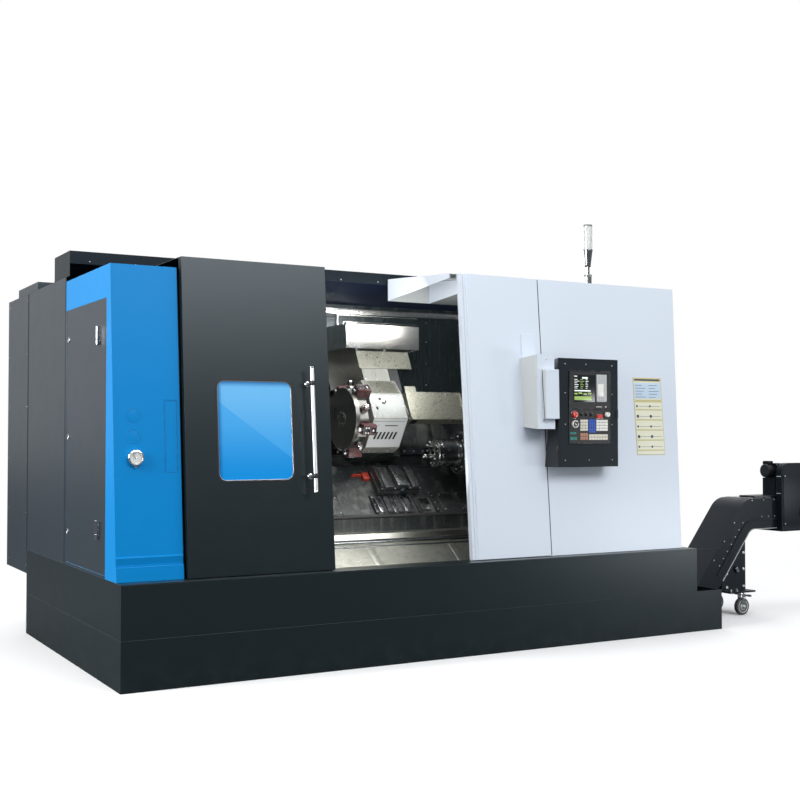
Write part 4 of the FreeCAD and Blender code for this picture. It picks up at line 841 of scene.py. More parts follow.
def control_face():
    """Raised face plate, its screws, hinges and the frames round the screen and keys."""
    face = Piece("control_face", "frame", box_coat, screw_zinc, rubber, black_steel).on(BOX_FACE)
    face.ring_plate(rounded(2806, 3282, 1131, 1819, 6), rounded(2809, 3279, 1134, 1816, 5), -0.5, 1.8)
    face.screws(BOX_SCREWS, 4.2, 1)
    face.ring_plate(rounded(2884, 3221, 1496, 1746, 5), rounded(2892, 3213, 1504, 1738, 4), -0.5, 6.2, 3)
    face.ring_plate(rounded(2884, 3221, 1276, 1496, 5), rounded(2890, 3215, 1282, 1490, 4), -0.5, 5.2, 3)
    face.bar(2954, 3221, 1440, 1443.5, 3.6, 5.0, 3, 0.6)
    for z in (1230, 1720):
        face.turned(2805, z, ((5.5, -34), (6, -33), (6, 33), (5.5, 34)), -14, 3, 16, (0, 1, 0))
    face.bar(3268, 3282, 1440, 1500, 1.0, 7.5, 3, 2)
    face.done()


def screen_picture():
    """Lit display with plain bars and blocks, and the soft-key panel on its right."""
    picture = Piece("screen_picture", "frame", screen_dark, screen_pale, screen_green, pale_grey,
                    white_plastic, black_plastic).on(BOX_FACE)
    picture.bar(2920, 3095, 1544, 1718, 2.6, 3.4, 0, 0.3)
    picture.bar(2926, 2950, 1706, 1711, 3.4, 3.9, 1, 0.2).bar(2990, 3036, 1694, 1704, 3.4, 3.9, 1, 0.2)
    for row in range(6):
        wide = (26, 40, 22, 34, 30, 24)[row]
        z = 1686 - row * 11
        picture.bar(2928, 2928 + wide, z, z + 3.4, 3.4, 3.9, 1, 0.2)
        picture.bar(2976, 2976 + 0.8 * wide, z, z + 3.4, 3.4, 3.9, 2, 0.2)
        picture.bar(3018, 3018 + 0.6 * wide, z, z + 3.4, 3.4, 3.9, 1, 0.2)
    picture.bar(2928, 3058, 1612, 1620, 3.4, 3.9, 1, 0.2)
    for left, wide, z in ((2928, 24, 1592), (2960, 30, 1596), (3000, 26, 1590), (3036, 28, 1594)):
        picture.bar(left, left + wide, z, z + 10, 3.4, 3.9, 2, 0.2)
    picture.bar(2928, 3066, 1556, 1580, 3.4, 3.9, 2, 0.2)
    picture.bar(3106, 3188, 1546, 1722, 4.6, 6.2, 3, 0.8)
    picture.bar(3118, 3162, 1584, 1662, 6.0, 7.6, 4, 0.8)
    key_field(picture, 3108, 3186, 1666, 1720, 4, 3, 3, 6.0, 2.0)
    key_field(picture, 3162, 3186, 1550, 1662, 1, 6, 3, 6.0, 2.0)
    key_field(picture, 3108, 3160, 1550, 1582, 3, 2, 3, 6.0, 2.0)
    picture.bar(3102, 3150, 1512, 1516, 4.8, 6.0, 4, 0.5)
    picture.turned(3180, 1514, ((5, 0), (5, 1.6), (0, 2.0)), 5, 4, 16)
    picture.done()


def control_keys():
    """Key rows in their colours, three selector knobs, rings and a scale round the hand wheel."""
    keys = Piece("control_keys", "frame", white_plastic, blue_key, beige_key, brown_key, green_key,
                 black_plastic, chrome, pale_grey).on(BOX_FACE)
    key_field(keys, 2972, 3034, 1358, 1432, 3, 4, 2)
    key_field(keys, 3040, 3096, 1346, 1434, 3, 5, 1)
    key_field(keys, 3102, 3196, 1358, 1432, 4, 4, 0)
    key_field(keys, 2972, 3034, 1300, 1346, 3, 2, 3)
    key_field(keys, 3042, 3196, 1300, 1338, 7, 2, 2)
    key_field(keys, 2890, 2946, 1300, 1322, 2, 1, 4)
    key_field(keys, 2890, 2940, 1336, 1352, 2, 1, 4)
    for x, turn in ((2983, 35), (3022, -20), (3062, 60)):
        keys.turned(x, 1465, ((13, 0), (13, 2), (11.5, 3), (10.5, 3.2), (9.5, 12), (8.5, 13), (0, 13)), 4, 5,
                    24)
        keys.spoke(x, 1465, 90 + turn, 8.4, 2, 0.8, 16.9, 17.4)
        for mark in around(x, 1465, 17.5, 9, 210, -30):
            keys.dot(*mark, 0.9, 0.4, 4, 7, 8)
    for x, z, r in ((2925, 1462, 25.5), (3188, 1465, 10.5)):
        keys.turned(x, z, ((r, 0), (r, 2.2), (r - 1.4, 3.2), (r - 2.6, 3.0), (r - 2.6, 0)), 4, 6, 30)
    keys.ring_plate(rounded(3103, 3153, 1436.5, 1467.5, 4), rounded(3106.5, 3149.5, 1439.4, 1464.6, 2.5), 3.6,
                    5.8, 6)
    for mark in around(2927, 1402, 28.5, 36):
        keys.dot(*mark, 0.7, 0.4, 4, 7, 6)
    keys.done()


def knob_caps():
    """Grip and pointer details on the moving controls."""
    wheel = Piece("dial_grip", "mpg_dial", black_plastic, chrome, plate_ink).on(BOX_FACE)
    wheel.turned(2927, 1402, ((19, 18.4), (18.5, 19.2), (6, 19.4), (5, 18.8), (0, 18.8)), 0, 1, 32)
    wheel.turned(2938, 1412, ((4.6, 0), (4.6, 1.2), (3.6, 5), (4.4, 9), (3.4, 12), (0, 12.6)), 18.4, 0, 20)
    for rib in around(2927, 1402, 23.2, 24):
        wheel.turned(*rib, ((1.5, 0), (1.5, 9), (0, 9.5)), 8.5, 0, 8)
    wheel.done()
    stop = Piece("stop_button_rim", "estop", red_plastic, white_plastic).on(BOX_FACE)
    stop.turned(2925, 1462, ((20.6, 12), (21.4, 14), (21, 18), (18.5, 21.6), (12, 23.6), (0, 24.3)), 0, 0, 36)
    arrow_step = math.degrees(1.2) / 5
    for start in (20, 140, 260):
        arc, inner = (around(2925, 1462, r, 6, start, arrow_step) for r in (13, 11))
        stop.cut_plate(arc + inner[::-1], 22.6, 24.2, 1)
    stop.done()
    feed = Piece("feed_knob_grip", "feed_knob", white_plastic, plate_ink).on(BOX_FACE)
    for rib in around(3188, 1465, 14.6, 14):
        feed.turned(*rib, ((1.3, 0), (1.3, 14), (0, 15)), 6, 0, 8)
    feed.bar(3187, 3189, 1466, 1478, 22.2, 23.1, 1, 0.3)
    feed.done()


# ---- left side, roof, back ----

def side_details():
    """Hinge pins, panel seams, latch and fold lines of the left side."""
    side = Piece("side_details", "frame", chrome, rubber, side_grey, screw_zinc).on(LEFT_SIDE)
    for z in (815, 1882):
        for low, high, r in ((-50.6, -24, 11), (-21, 50.6, 10.6)):
            outline = ((0, low - 1.2), (r - 2.5, low - 1.2), (r, low + 1), (r, high - 1),
                       (r - 2.5, high + 1.2), (0, high + 1.2))
            side.turned(-435, z, outline, 10.5, 0, 26, (0, 1, 0))
        side.bar(-434, -404, z - 46, z + 46, 2.6, 3.8, 2, 0.5)
        side.screws([(-414, z - 28), (-414, z), (-414, z + 28)], 3, 3, z=3.6)
    side.bar(-2194, -2178, 562, 2286, -0.6, 1.6, 1, 0.3)
    side.bar(-1174, -1141, 561, 2080, -0.5, 1, 2, 0.3).bar(-1141, -300, 561, 577, -0.5, 1, 2, 0.3)
    side.bar(-1186, -1170, 562, 2286, -1, 1.8, 1, 0.3)
    side.done()
    door = Piece("side_door_latches", "side_door", black_plastic, chrome).on(LEFT_SIDE)
    for z in (760, 1320, 1900):
        door.turned(-1098, z, ((17, 0), (17, 2.4), (15.5, 3.6), (11, 3.8), (10, 2.6), (0, 2.6)), 0, 1, 28)
        door.bar(-1107, -1089, z - 2.2, z + 2.2, 2.4, 5.4, 0, 0.8)
    door.done()


def roof_details():
    """Flanged joints, screws and lifting eyes on the raised roof."""
    roof = Piece("roof_details", "frame", graphite, screw_zinc, rubber, liner_coat)
    roof.face(0, 0, 2440, BACK)
    for x in (1305, 2610):
        roof.bar(x - 24, x + 24, 1097, 1464, -0.5, 3, 0, 1)
        roof.screws([(x + side, y) for side in (-14, 14) for y in steps(1125, 1435, 5)], 5, 1, z=2.6)
    for x in (500, 3400):
        for y in (1180, 1380):
            roof.turned(x, y, ((24, 0), (24, 3), (14, 4), (12, 10), (0, 12)), 0, 1, 24)
            roof.ring_plate(around(x, y, 19, 40), around(x, y, 17, 40), 4, 6, 1)
    roof.face(0, 0, 2290, BACK)
    for x in steps(650, 3250, 5):
        roof.bar(x - 18, x + 18, 1472, 1915, -0.4, 2.4, 0, 0.8)
        roof.screws([(x, y) for y in (1500, 1700, 1890)], 5, 1, z=2.2)
    roof.face(0, 1094, 0)
    roof.screws([(x, 2380) for x in steps(120, 3800, 14)], 4.5, 1)
    roof.done()


def cabinet_details():
    """Hinges, lock bars, fan grilles, main switch and lifting eyes of the electrical cabinet."""
    door = Piece("cabinet_door_fittings", "cabinet_door", black_plastic, chrome, red_plastic, rubber,
                 side_grey, dark_hole)
    door.face(0, CABINET_DOOR_Y, 0, UP, LEFT)
    for left, low in ((-1220, 1830), (-420, 1830), (-1220, 560), (-420, 560)):
        door.ring_plate(rounded(left - 20, left + 220, low - 20, low + 220, 10),
                        rounded(left - 8, left + 208, low - 8, low + 208, 6), -0.5, 9, 0)
        door.bar(left - 9, left + 209, low - 9, low + 209, -0.4, 1.4, 5, 0.4)
        for i in range(11):
            door.bar(left - 8, left + 208, low + 3 + i * 19, low + 13 + i * 19, 1.2, 6.5, 0, 1.2)
    for z in (760, 1340, 1920):
        door.bar(-62, -28, z - 60, z + 60, 0, 9, 1, 3)
        door.turned(-45, z + 30, ((10, 0), (10, 5), (8, 7), (0, 7)), 9, 0, 20)
    door.turned(-700, 1500, ((42, 0), (42, 5), (39, 7), (30, 7.5), (0, 7.5)), 0, 0, 36)
    door.bar(-712, -688, 1462, 1538, 7, 26, 2, 4)
    door.done()
    trim = Piece("cabinet_trim", "frame", side_grey, screw_zinc, rubber, black_plastic)
    trim.face(0, 0, 2289, BACK)
    for x in (120, 1280):
        for yy in (2560, 2730):
            trim.turned(x, yy, ((22, 0), (22, 4), (12, 5), (10, 16), (0, 18)), 0, 1, 22)
    trim.face(1400, 0, 0, UP, BACK)
    for i in range(9):
        trim.cut_plate([(2420, 1840 + i * 34), (2620, 1840 + i * 34), (2620, 1850 + i * 34),
                        (2420, 1850 + i * 34)], 0, 5, 0)
    trim.screws(grid((2210, 2775), steps(450, 2240, 6)), 5, 1)
    for low in (560, 640, 720):
        trim.turned(2300, low, ((18, 0), (18, 8), (13, 10), (13, 18), (9, 20), (0, 20)), 0, 3, 6)
    trim.on(LEFT_SIDE)
    trim.screws([(-yy, z) for yy in (2212, 2772) for z in steps(450, 2240, 6)], 4, 1)
    trim.face(0, 0, 2342, BACK)
    trim.screws(grid(steps(60, 1340, 6), (1940, 2477)), 5, 1)
    trim.done()


def rear_details():
    """Pressed ribs, service covers and their screws on the back and right end."""
    back = Piece("rear_details", "frame", side_grey, screw_zinc, black_plastic, rubber,
                 door_white).on(REAR_SIDE)
    for left, right in ((-3850, -3180), (-3120, -2450), (-2390, -1480)):
        back.ring_plate(rounded(left, right, 640, 2180, 20), rounded(left + 5, right - 5, 645, 2175, 16),
                        -0.5, 2.4, 0)
        back.bar(left + 8, right - 8, 648, 2172, -0.6, 1.5, 0, 0.8)
        back.screws(grid((left + 26, right - 26), steps(680, 2140, 5)), 5.5, 1, z=1.4)
        for i in range(8):
            x = (left + right) / 2
            back.bar(x - 130, x + 130, 1950 + i * 20, 1958 + i * 20, 1.2, 7, 0, 2)
        back.bar((left + right) / 2 - 60, (left + right) / 2 + 60, 1380, 1394, 1.4, 22, 2, 4)
    back.face(3916, 0, 560, (4.0, 0, 102.0), BACK)
    back.ring_plate(rounded(520, 1640, 120, 1500, 20), rounded(525, 1635, 125, 1495, 16), -0.5, 3, 4)
    back.bar(528, 1632, 128, 1492, -0.6, 2, 4, 0.8)
    back.screws(grid((552, 1608), steps(160, 1460, 5)), 5.5, 1, z=1.8)
    back.bar(1000, 1160, 800, 816, 1.6, 24, 2, 5)
    back.done()


def base_details():
    """Painted highlight lines on the base front's step and top edge, drain plugs and sight glass of the
    coolant base.
    """
    base = Piece("base_details", "frame", graphite, screw_zinc, black_plastic, beacon_glass, rubber,
                 side_grey)
    base.face(0, 0, 0)
    # pale grey strips along the front's step and top edge: painted edge highlights
    base.bar(3, 4197, 267.5, 269.5, -0.5, 0.8, 5, 0.2).bar(6, 4194, 553.5, 555, -0.5, 0.8, 5, 0.2)
    base.on(REAR_SIDE)
    for x in (-3600, -600):
        base.turned(x, 60, ((26, 0), (26, 4), (20, 5), (18, 16), (10, 17), (0, 15)), 0, 1, 6)
    base.bar(-2900, -1700, 330, 500, 0, 2.4, 0, 1)
    base.screws(grid(steps(-2870, -1730, 7), (350, 480)), 6, 1, z=2.2)
    base.face(0, 0, 270, BACK)
    base.bar(3980, 4194, 1000, 2180, -2, 3, 0, 1)
    base.screws(grid((4000, 4176), steps(1040, 2140, 5)), 6, 1, z=2.8)
    base.on(RIGHT_SIDE)
    base.turned(1300, 150, ((34, 0), (34, 6), (30, 8), (24, 8), (23, 5)), 0, 1, 30)
    base.turned(1300, 150, ((23, 4), (12, 6.4), (0, 7)), 0, 3, 30)
    base.done()


def beacon_details():
    """Rings, cap and inner lamp stack of the signal light."""
    light = Piece("beacon_details", "frame", chrome, white_plastic, rubber, turned_steel)
    light.face(3630, 730, 0, BACK)
    light.turned(0, 0, ((34, 2661), (36.4, 2663), (36.4, 2668), (33.4, 2670)), 0, 3, 36)
    light.turned(0, 0, ((33.4, 2840), (34.2, 2842), (32, 2849), (22, 2849.8), (0, 2849.9)), 0, 3, 36)
    light.turned(0, 0, ((27.2, 2474), (28.4, 2476), (28.4, 2485), (24, 2488.6), (13, 2490)), 0, 3, 30)
    light.turned(0, 0, ((20.4, 2545), (21.6, 2547), (21.6, 2553), (20.8, 2555)), 0, 2, 28)
    light.screws(around(0, 0, 20, 4, 45), 3.4, z=2488.4)
    light.done()
    stack = Piece("beacon_lamp_stack", "frame", white_plastic, chrome).face(3630, 730, 0, BACK)
    stack.turned(0, 0, ((20, 2670), (20, 2836), (0, 2838)), 0, 0, 24)
    for z in (2680, 2732, 2784):
        stack.turned(0, 0, ((20.2, z), (24, z + 2), (24, z + 6), (20.2, z + 8)), 0, 1, 24)
    stack.done()


# ---- work area ----

def back_wall_details():
    """Folded cover frame, bright strip, dome screws and work lamp on the back wall."""
    wall = Piece("back_wall_details", "frame", liner_coat, stainless, screw_zinc, rubber,
                 lamp_cover).on(BACK_WALL)
    wall.bar(1143, 3594, 2196, 2234, 2.5, 9, 1, 2)
    wall.cut_plate([(1995, 1620), (2040, 1620), (2040, 2138), (2650, 2138), (2650, 2184), (1995, 2184)], 0,
                   22, 0)
    wall.cut_plate([(1991, 1616), (1997, 1616), (1997, 2182), (2650, 2182), (2650, 2188), (1991, 2188)], 0,
                   25, 1)
    wall.cut_plate([(2038, 1620), (2042, 1620), (2042, 2136), (2650, 2136), (2650, 2140), (2038, 2140)], 0,
                   25, 1)
    for z in (2150, 2025, 1897, 1760):
        wall.turned(1905, z, PAN_HEAD, 0, 2, 14, scale=7)
    wall.screws([(x, 2216) for x in steps(1220, 3500, 13)], 6, 2, z=9)
    wall.screws(grid((2740, 3060, 3380), (1700, 1860, 2020, 2160)), 6, 2)
    wall.screws(grid((1190, 1480, 1730), (1640, 1800, 1960, 2130)), 6, 2)
    wall.bar(2700, 2703, 1600, 2190, -0.5, 1.5, 3, 0.3)
    wall.face(0, 1100, 2362, (0, -420, 103), LEFT)
    wall.bar(-1900, -1250, -90, -30, 1, 22, 0, 3).bar(-1890, -1260, -84, -36, 20, 27, 4, 4)
    wall.done()


def side_wall_details():
    """Spindle-nose collar and dome screws of the end walls."""
    wall = Piece("end_wall_details", "frame", liner_coat, screw_zinc, turned_steel)
    wall.face(1137, 0, 0, UP, BACK)
    wall.screws(grid(steps(480, 1440, 6), (1500, 1780, 2060)), 6, 1)
    wall.ring_plate(around(SPINDLE_Y, SPINDLE_Z, 150, 40), around(SPINDLE_Y, SPINDLE_Z, 122, 40), 0, 9, 2)
    wall.screws([(SPINDLE_Y + 136 * math.cos(a), SPINDLE_Z + 136 * math.sin(a)) for a in steps(0, 5.7, 10)],
                5, 1, SOCKET_HEAD, 9)
    wall.face(3600, 0, 0, UP, FRONT)
    wall.screws([(-y, z) for y in steps(480, 1440, 6) for z in (1200, 1500, 1780, 2060)], 6, 1)
    wall.bar(-1440, -480, 1000, 1006, 0, 4, 0, 1)
    wall.done()


def bed_details():
    """Wipers, stops, drain pads and guard strips on the bed's sloping faces."""
    bed = Piece("bed_details", "frame", casting, way_steel, rubber, screw_zinc, black_steel).on(LOW_FACE)
    bed.bar(1140, 3595, -12, 12, -2, 12, 2, 6)
    for x in (1925, 2385):
        bed.bar(x, x + 22, 14, 176, -1, 20, 4, 4)
        bed.screws([(x + 11, a) for a in (30, 90, 150)], 4, 3, z=19)
    for x0, x1, a0, a1 in ((1962, 2010, 30, 166), (2066, 2112, 22, 120), (2150, 2236, 26, 172),
                           (2276, 2372, 40, 150)):
        bed.ring_plate(rounded(x0, x1, a0, a1, 16), rounded(x0 + 5, x1 - 5, a0 + 5, a1 - 5, 12), -1, 7, 0)
        bed.bar(x0 + 7, x1 - 7, a0 + 7, a1 - 7, -1, 3.5, 1, 2)
    for i in range(4):
        x = 2022 + 76 * i
        bed.bar(x - 2, x + 32, 16, 27, 0, 17, 2, 2)
        bed.screws([(x + 15, a) for a in (45, 85, 125)], 3.4, 3, SOCKET_HEAD, 10.4)
    for x0, x1 in ((1160, 1700), (2450, 3050), (3090, 3570)):
        bed.ring_plate(rounded(x0, x1, 30, 190, 12), rounded(x0 + 4, x1 - 4, 34, 186, 9), -0.5, 4, 0)
        bed.screws(grid(steps(x0 + 22, x1 - 22, 5), (46, 174)), 5, 3)
    bed.on(on_face(slope_point(0, -330), UP_SLOPE))
    for s in (150, 520):
        bed.screws([(x, s) for x in steps(1240, 3550, 32)], 6, 3, SOCKET_HEAD, 40)
        bed.bar(1202, 1212, s - 25, s + 25, 0, 44, 2, 2).bar(3578, 3588, s - 25, s + 25, 0, 44, 2, 2)
    bed.done()


def pan_details():
    """Seams, upper rail, guard grid and screws of the chip pan."""
    pan = Piece("pan_details", "frame", pan_steel, screw_zinc, way_steel, black_steel)
    pan.face(0, 285, 420, (0, 347, 250))
    for x in (1760, 2360, 2960):
        pan.bar(x - 26, x + 26, 8, 420, -0.4, 2, 0, 0.8)
        pan.screws([(x + side, a) for side in (-16, 16) for a in (40, 160, 280, 395)], 4, 1, z=1.8)
    pan.bar(1145, 3592, 388, 412, -0.5, 12, 2, 4)
    pan.bar(1145, 3592, 352, 362, -0.5, 5, 2, 2)
    pan.face(0, 640, 703, BACK)
    pan.screws([(x, 30) for x in steps(1200, 3540, 12)], 4.5, 1)
    pan.face(0, 198, 424, BACK)
    for x in steps(1420, 3280, 38):
        pan.bar(x - 3, x + 3, -4, 78, -4, 4, 3, 1)
    pan.done()


def chuck_marks(name, body, x, side, radius, length, band):
    """Face bolts, grease nipples, a bright band and a wrench socket on a chuck."""
    chuck = Piece(name, body, turned_steel, screw_zinc, black_steel, chrome)
    chuck.face(x, SPINDLE_Y, SPINDLE_Z, UP, (0, side, 0))
    r = radius
    for i in range(3):
        a = math.radians(30 + 120 * i)
        for turn, out in ((-0.3, 0.72), (0.3, 0.72), (0, 0.86)):
            spot = (out * r * math.cos(a + turn), out * r * math.sin(a + turn))
            chuck.turned(*spot, SOCKET_HEAD, -1, 1, 16, scale=0.055 * r)
        chuck.turned(0.5 * r * math.cos(a), 0.5 * r * math.sin(a), ((1, 0), (1, 0.4), (0, 0.4)), 0, 2, 14,
                     scale=0.045 * r)
    bore = 0.3 * r
    chuck.turned(0, 0,
                 ((bore * 1.1, 0), (bore * 1.1, 2.6), (bore * 1.04, 3.4), (bore * 0.92, 3.4),
                  (bore * 0.92, -3)), 0, 0, 40)
    for low, high in band:
        outline = ((r - 0.5, -low), (r + 0.7, -low - 1), (r + 0.7, -high + 1), (r - 0.5, -high))
        chuck.turned(0, 0, outline, 0, 3, 56)
    for i in range(6):
        a = math.radians(15 + 60 * i)
        out = Vector((math.cos(a), math.sin(a), 0))
        chuck.turned(0.985 * r * out.x, 0.985 * r * out.y,
                     ((9, -2), (9, 2.0), (7.4, 2.4), (6.4, 1.6), (0, 1.4)), -length * 0.45, 2, 16, out)
    chuck.done()


def jaw_marks(kind, x, side, radius):
    """Clamping screws and gripping teeth on each jaw."""
    for n in range(3):
        piece = Piece("%s_jaw_marks_%d" % (kind, n + 1), "%s_jaw_%d" % (kind, n + 1), screw_zinc,
                      turned_steel, black_steel)
        spin = Matrix.Rotation(math.radians(120 * n), 4, "X")
        face = on_face(Vector((0, 0, 0)), UP, (0, side, 0))
        piece.on(Matrix.Translation(at(x, SPINDLE_Y, SPINDLE_Z)) @ spin @ face)
        piece.turned(0, 0.54 * radius, SOCKET_HEAD, 41.6, 0, 18, scale=0.07 * radius)
        piece.turned(0, 0.775 * radius, SOCKET_HEAD, 20.6, 0, 18, scale=0.07 * radius)
        half = 0.15 * radius
        for i in range(6):
            high = 24 + i * 3
            piece.bar(-half + 1, half - 1, 0.42 * radius - 1, 0.42 * radius + 1, high, high + 1.5, 1, 0.4)
        piece.bar(-half - 0.4, half + 0.4, 0.67 * radius, 0.67 * radius + 1.6, 20.4, 21.6, 2, 0.3)
        piece.done()


def turret_front():
    """Openings, vents, cover plates and screws on the turret's white housing."""
    front = Piece("turret_front", "cross_slide", dark_hole, turret_white, spangle, screw_zinc, chrome,
                  pale_grey)
    front.on(SLANT_FACE)
    front.ring_plate(rounded(1918, 2165, 190, 366, 6), rounded(1920, 2163, 192, 364, 5), 146, 147.8, 1)
    for x, s, r in ((1955, 262, 9.5), (1990, 330, 8)):
        front.turned(x, s, ((r + 2.5, 0), (r + 2.5, 1), (r, 1.6), (r - 0.4, 0.8)), 147, 1, 26)
        front.dot(x, s, r, 0.9, 147, 0, 26)
    front.cut_plate([(2000, 300), (2016, 292), (2030, 306), (2026, 318), (2018, 310), (2008, 308)], 147, 155,
                    0)
    front.turned(2010, 306, ((4.5, 0), (4.5, 9), (3, 11), (0, 11)), 147, 4, 14)
    front.screws(grid((1926, 2156), (200, 278, 356)), 4, 3, z=147)
    rise = slope_point(500, 89) - slope_point(370, 147)
    front.on(on_face(slope_point(370, 147), rise))
    front.bar(1930, 2154, 8, 132, -0.5, 2.4, 2, 1)
    front.screws(grid((1940, 2144), (18, 122)), 4, 3, z=2.2)
    front.cut_plate([(1985, 60), (1991, 58), (2024, 112), (2020, 116)], 2.2, 6, 4)
    rise = slope_point(186, 147) - slope_point(66, -46)
    front.on(on_face(slope_point(66, -46), rise))
    front.bar(1915, 2168, 2, 224, -0.5, 0.8, 5, 0.5)
    front.bar(1922, 2158, 203, 205.4, 0.6, 1.6, 0, 0.3)
    front.bar(2012, 2108, 168, 175, 0.6, 1.7, 0, 0.4)
    for i in range(6):
        x = 1958 + 29 * i
        front.cut_plate([(x - 9, 66), (x + 5, 66), (x + 17, 122), (x + 3, 122)], 0.6, 1.6, 0)
        front.cut_plate([(x + 5, 66), (x + 8, 66), (x + 20, 122), (x + 17, 122)], 0.6, 3.6, 5)
    front.dot(1965, 176, 3.2, 1.6, 0.6, 0, 12)
    front.screws(grid((1928, 2154), (22, 150)), 4, 3, z=0.8)
    front.done()


def cross_slide_details():
    """Bellows plates, coolant manifold and cable guide of the cross slide."""
    cover = Piece("cross_cover_details", "cross_slide", spangle, screw_zinc, black_steel).on(SLANT_FACE)
    cover.bar(1952, 2148, 502, 508, 74, 79, 0, 1).bar(1952, 2148, 632, 638, 73.4, 75.6, 0, 0.8)
    cover.bar(2046, 2049, 510, 630, 73.4, 75.6, 0, 0.5)
    cover.screws([(x, 520) for x in (1965, 2050, 2135)], 4, 1, z=73.6)
    cover.on(on_face(slope_point(0, 0, 2170), UP_SLOPE, OFF_SLOPE))
    cover.bar(-60, 60, 430, 470, 0, 24, 2, 4)
    cover.done()
    base = slope_point(452, 30, 2176)
    bent_pipe("coolant_pipe", "cross_slide", chrome, 6.5,
              [base, base + Vector((0.03, -0.01, 0)), slope_point(400, 60, 2204), slope_point(300, 96, 2206),
               slope_point(232, 118, 2202), slope_point(190, 140, 2186)])
    segment = Piece("cover_segment_lips", "cover_segment", spangle, screw_zinc).on(SLANT_FACE)
    segment.bar(1937, 2338, 601, 606, 76.5, 80, 0, 1).bar(2040, 2043, 608, 730, 76.6, 78.4, 0, 0.5)
    segment.screws([(x, 720) for x in (1955, 2140, 2320)], 4, 1, z=77)
    segment.done()


def disc_details():
    """Index ring, centre cap, station bolts, holder clamps and tools on the turret disc."""
    y, z = TURRET_Y, TURRET_Z
    disc = Piece("disc_details", "turret", disc_steel, screw_zinc, black_steel, chrome, oxide)
    disc.face(1760, 0, 0, UP, FRONT)
    disc.turned(-y, z, ((204, -4), (201, 0.4), (197, 1.2), (192, 1.2), (190.5, 0.2)), 0, 0, 80)
    disc.turned(-y, z, ((52, 0), (52, 5), (49, 6.5), (30, 6.5), (28, 4), (0, 4)), 0, 0, 48)
    for bolt, mark in zip(around(-y, z, 40, 5, 18), around(-y, z, 168, 5, 18)):
        disc.turned(*bolt, SOCKET_HEAD, 6, 1, 14, scale=4)
        disc.dot(*mark, 4, 0.6, 0, 2, 12)
    hook = [(88, 70), (100, 76), (112, 60), (116, 30), (110, -6), (98, -16), (92, -8), (100, 4), (103, 30),
            (99, 52)]
    disc.cut_plate([(-y - a, z + b) for a, b in hook], 0, 0.8, 2)
    disc.done()
    tools = Piece("holder_details", "turret", black_steel, screw_zinc, chrome, turned_steel, oxide)
    for i in range(10):
        a = math.radians(36 * i)
        radial = Vector((0, -math.sin(a), math.cos(a)))
        middle = at(0, y, z)
        tools.on(on_face(middle + radial * 0.253, (0, math.cos(a), math.sin(a))))
        if i % 2:
            tools.bar(1798, 1842, -30, 30, -50, 1.5, 0, 2)
            tools.bar(1850, 1886, -20, 20, -2, 3.6, 0, 2)
            tools.screws([(1812, -17), (1812, 17), (1830, -17), (1830, 17)], 5.5, 1, SOCKET_HEAD, 0)
            tools.turned(1868, 0, ((9, 0), (9, 3), (6, 5.5), (0, 6)), 0, 2, 22)
            tools.bar(1772, 1800, -12, 12, -42, -20, 3, 1.5)
            tools.cut_plate([(1770, -9), (1786, -9), (1786, 9), (1770, 9)], -20, -15, 2)
            tools.bar(1796, 1888, 33, 35.5, -46, -8, 4, 1)
            tools.on(on_face(middle + radial * 0.222 + Vector((1.89, 0, 0)), radial,
                             (0, math.cos(a), math.sin(a))))
            tools.turned(0, 0, ((15, 0), (15, 5), (12, 7), (0, 7)), 0, 2, 6)
        else:
            tools.turned(1822, 0, ((25.6, -62), (27, -60), (27, -42), (25, -38), (18, -37)), 0, 3, 30)
            tools.turned(1822, 0, ((19.5, -30), (20.5, -28), (20.5, -8), (18, -2), (12, 1), (0, 1)), 0, 2, 8)
            tools.turned(1822, 0, ((6, 0), (6, 4.2), (0, 5)), 0, 1, 14)
    tools.done()


def lower_slide_details():
    """Bored clamp plates, bright centre plate and end brackets of the lower slide."""
    low = Piece("lower_slide_details", "lower_slide", casting, dark_hole, way_steel, graphite, screw_zinc,
                black_steel)
    low.on(LOW_FACE)
    low.bar(2126, 2214, 192, 372, 89.5, 92.5, 2, 2)
    low.bar(1999, 2016, 192, 372, 88, 94, 5, 5)
    for x0, x1 in ((2038, 2098), (2248, 2295)):
        low.bar(x0, x1, 192, 372, 70.5, 73.5, 0, 1.6)
        middle = (x0 + x1) / 2
        for a in steps(212, 352, 5):
            low.turned(middle, a, ((8.4, 0), (8.4, 0.8), (7.4, 1.2), (7, 0.6), (0, 0.6)), 73.2, 1, 20)
    for x in (2020, 2106, 2222):
        low.bar(x, x + 12, 186, 378, 40, 60, 3, 3)
    low.bar(1994, 2308, 181, 189, 44, 62, 5, 2)
    low.screws([(x, 186) for x in (2010, 2110, 2230, 2300)], 4.4, 4, SOCKET_HEAD, 61)
    low.turned(2170, 178, ((22, -12), (24, -10), (24, 8), (20, 12), (0, 12)), 44, 3, 30, (0, -1, 0))
    low.done()
    rest = Piece("red_wipers", "frame", wiper_red, screw_zinc).on(LOW_FACE)
    rest.bar(1936, 1984, 316, 372, 0, 26, 0, 3)
    rest.bar(1860, 1936, 352, 364, 0, 20, 0, 3)
    rest.done()


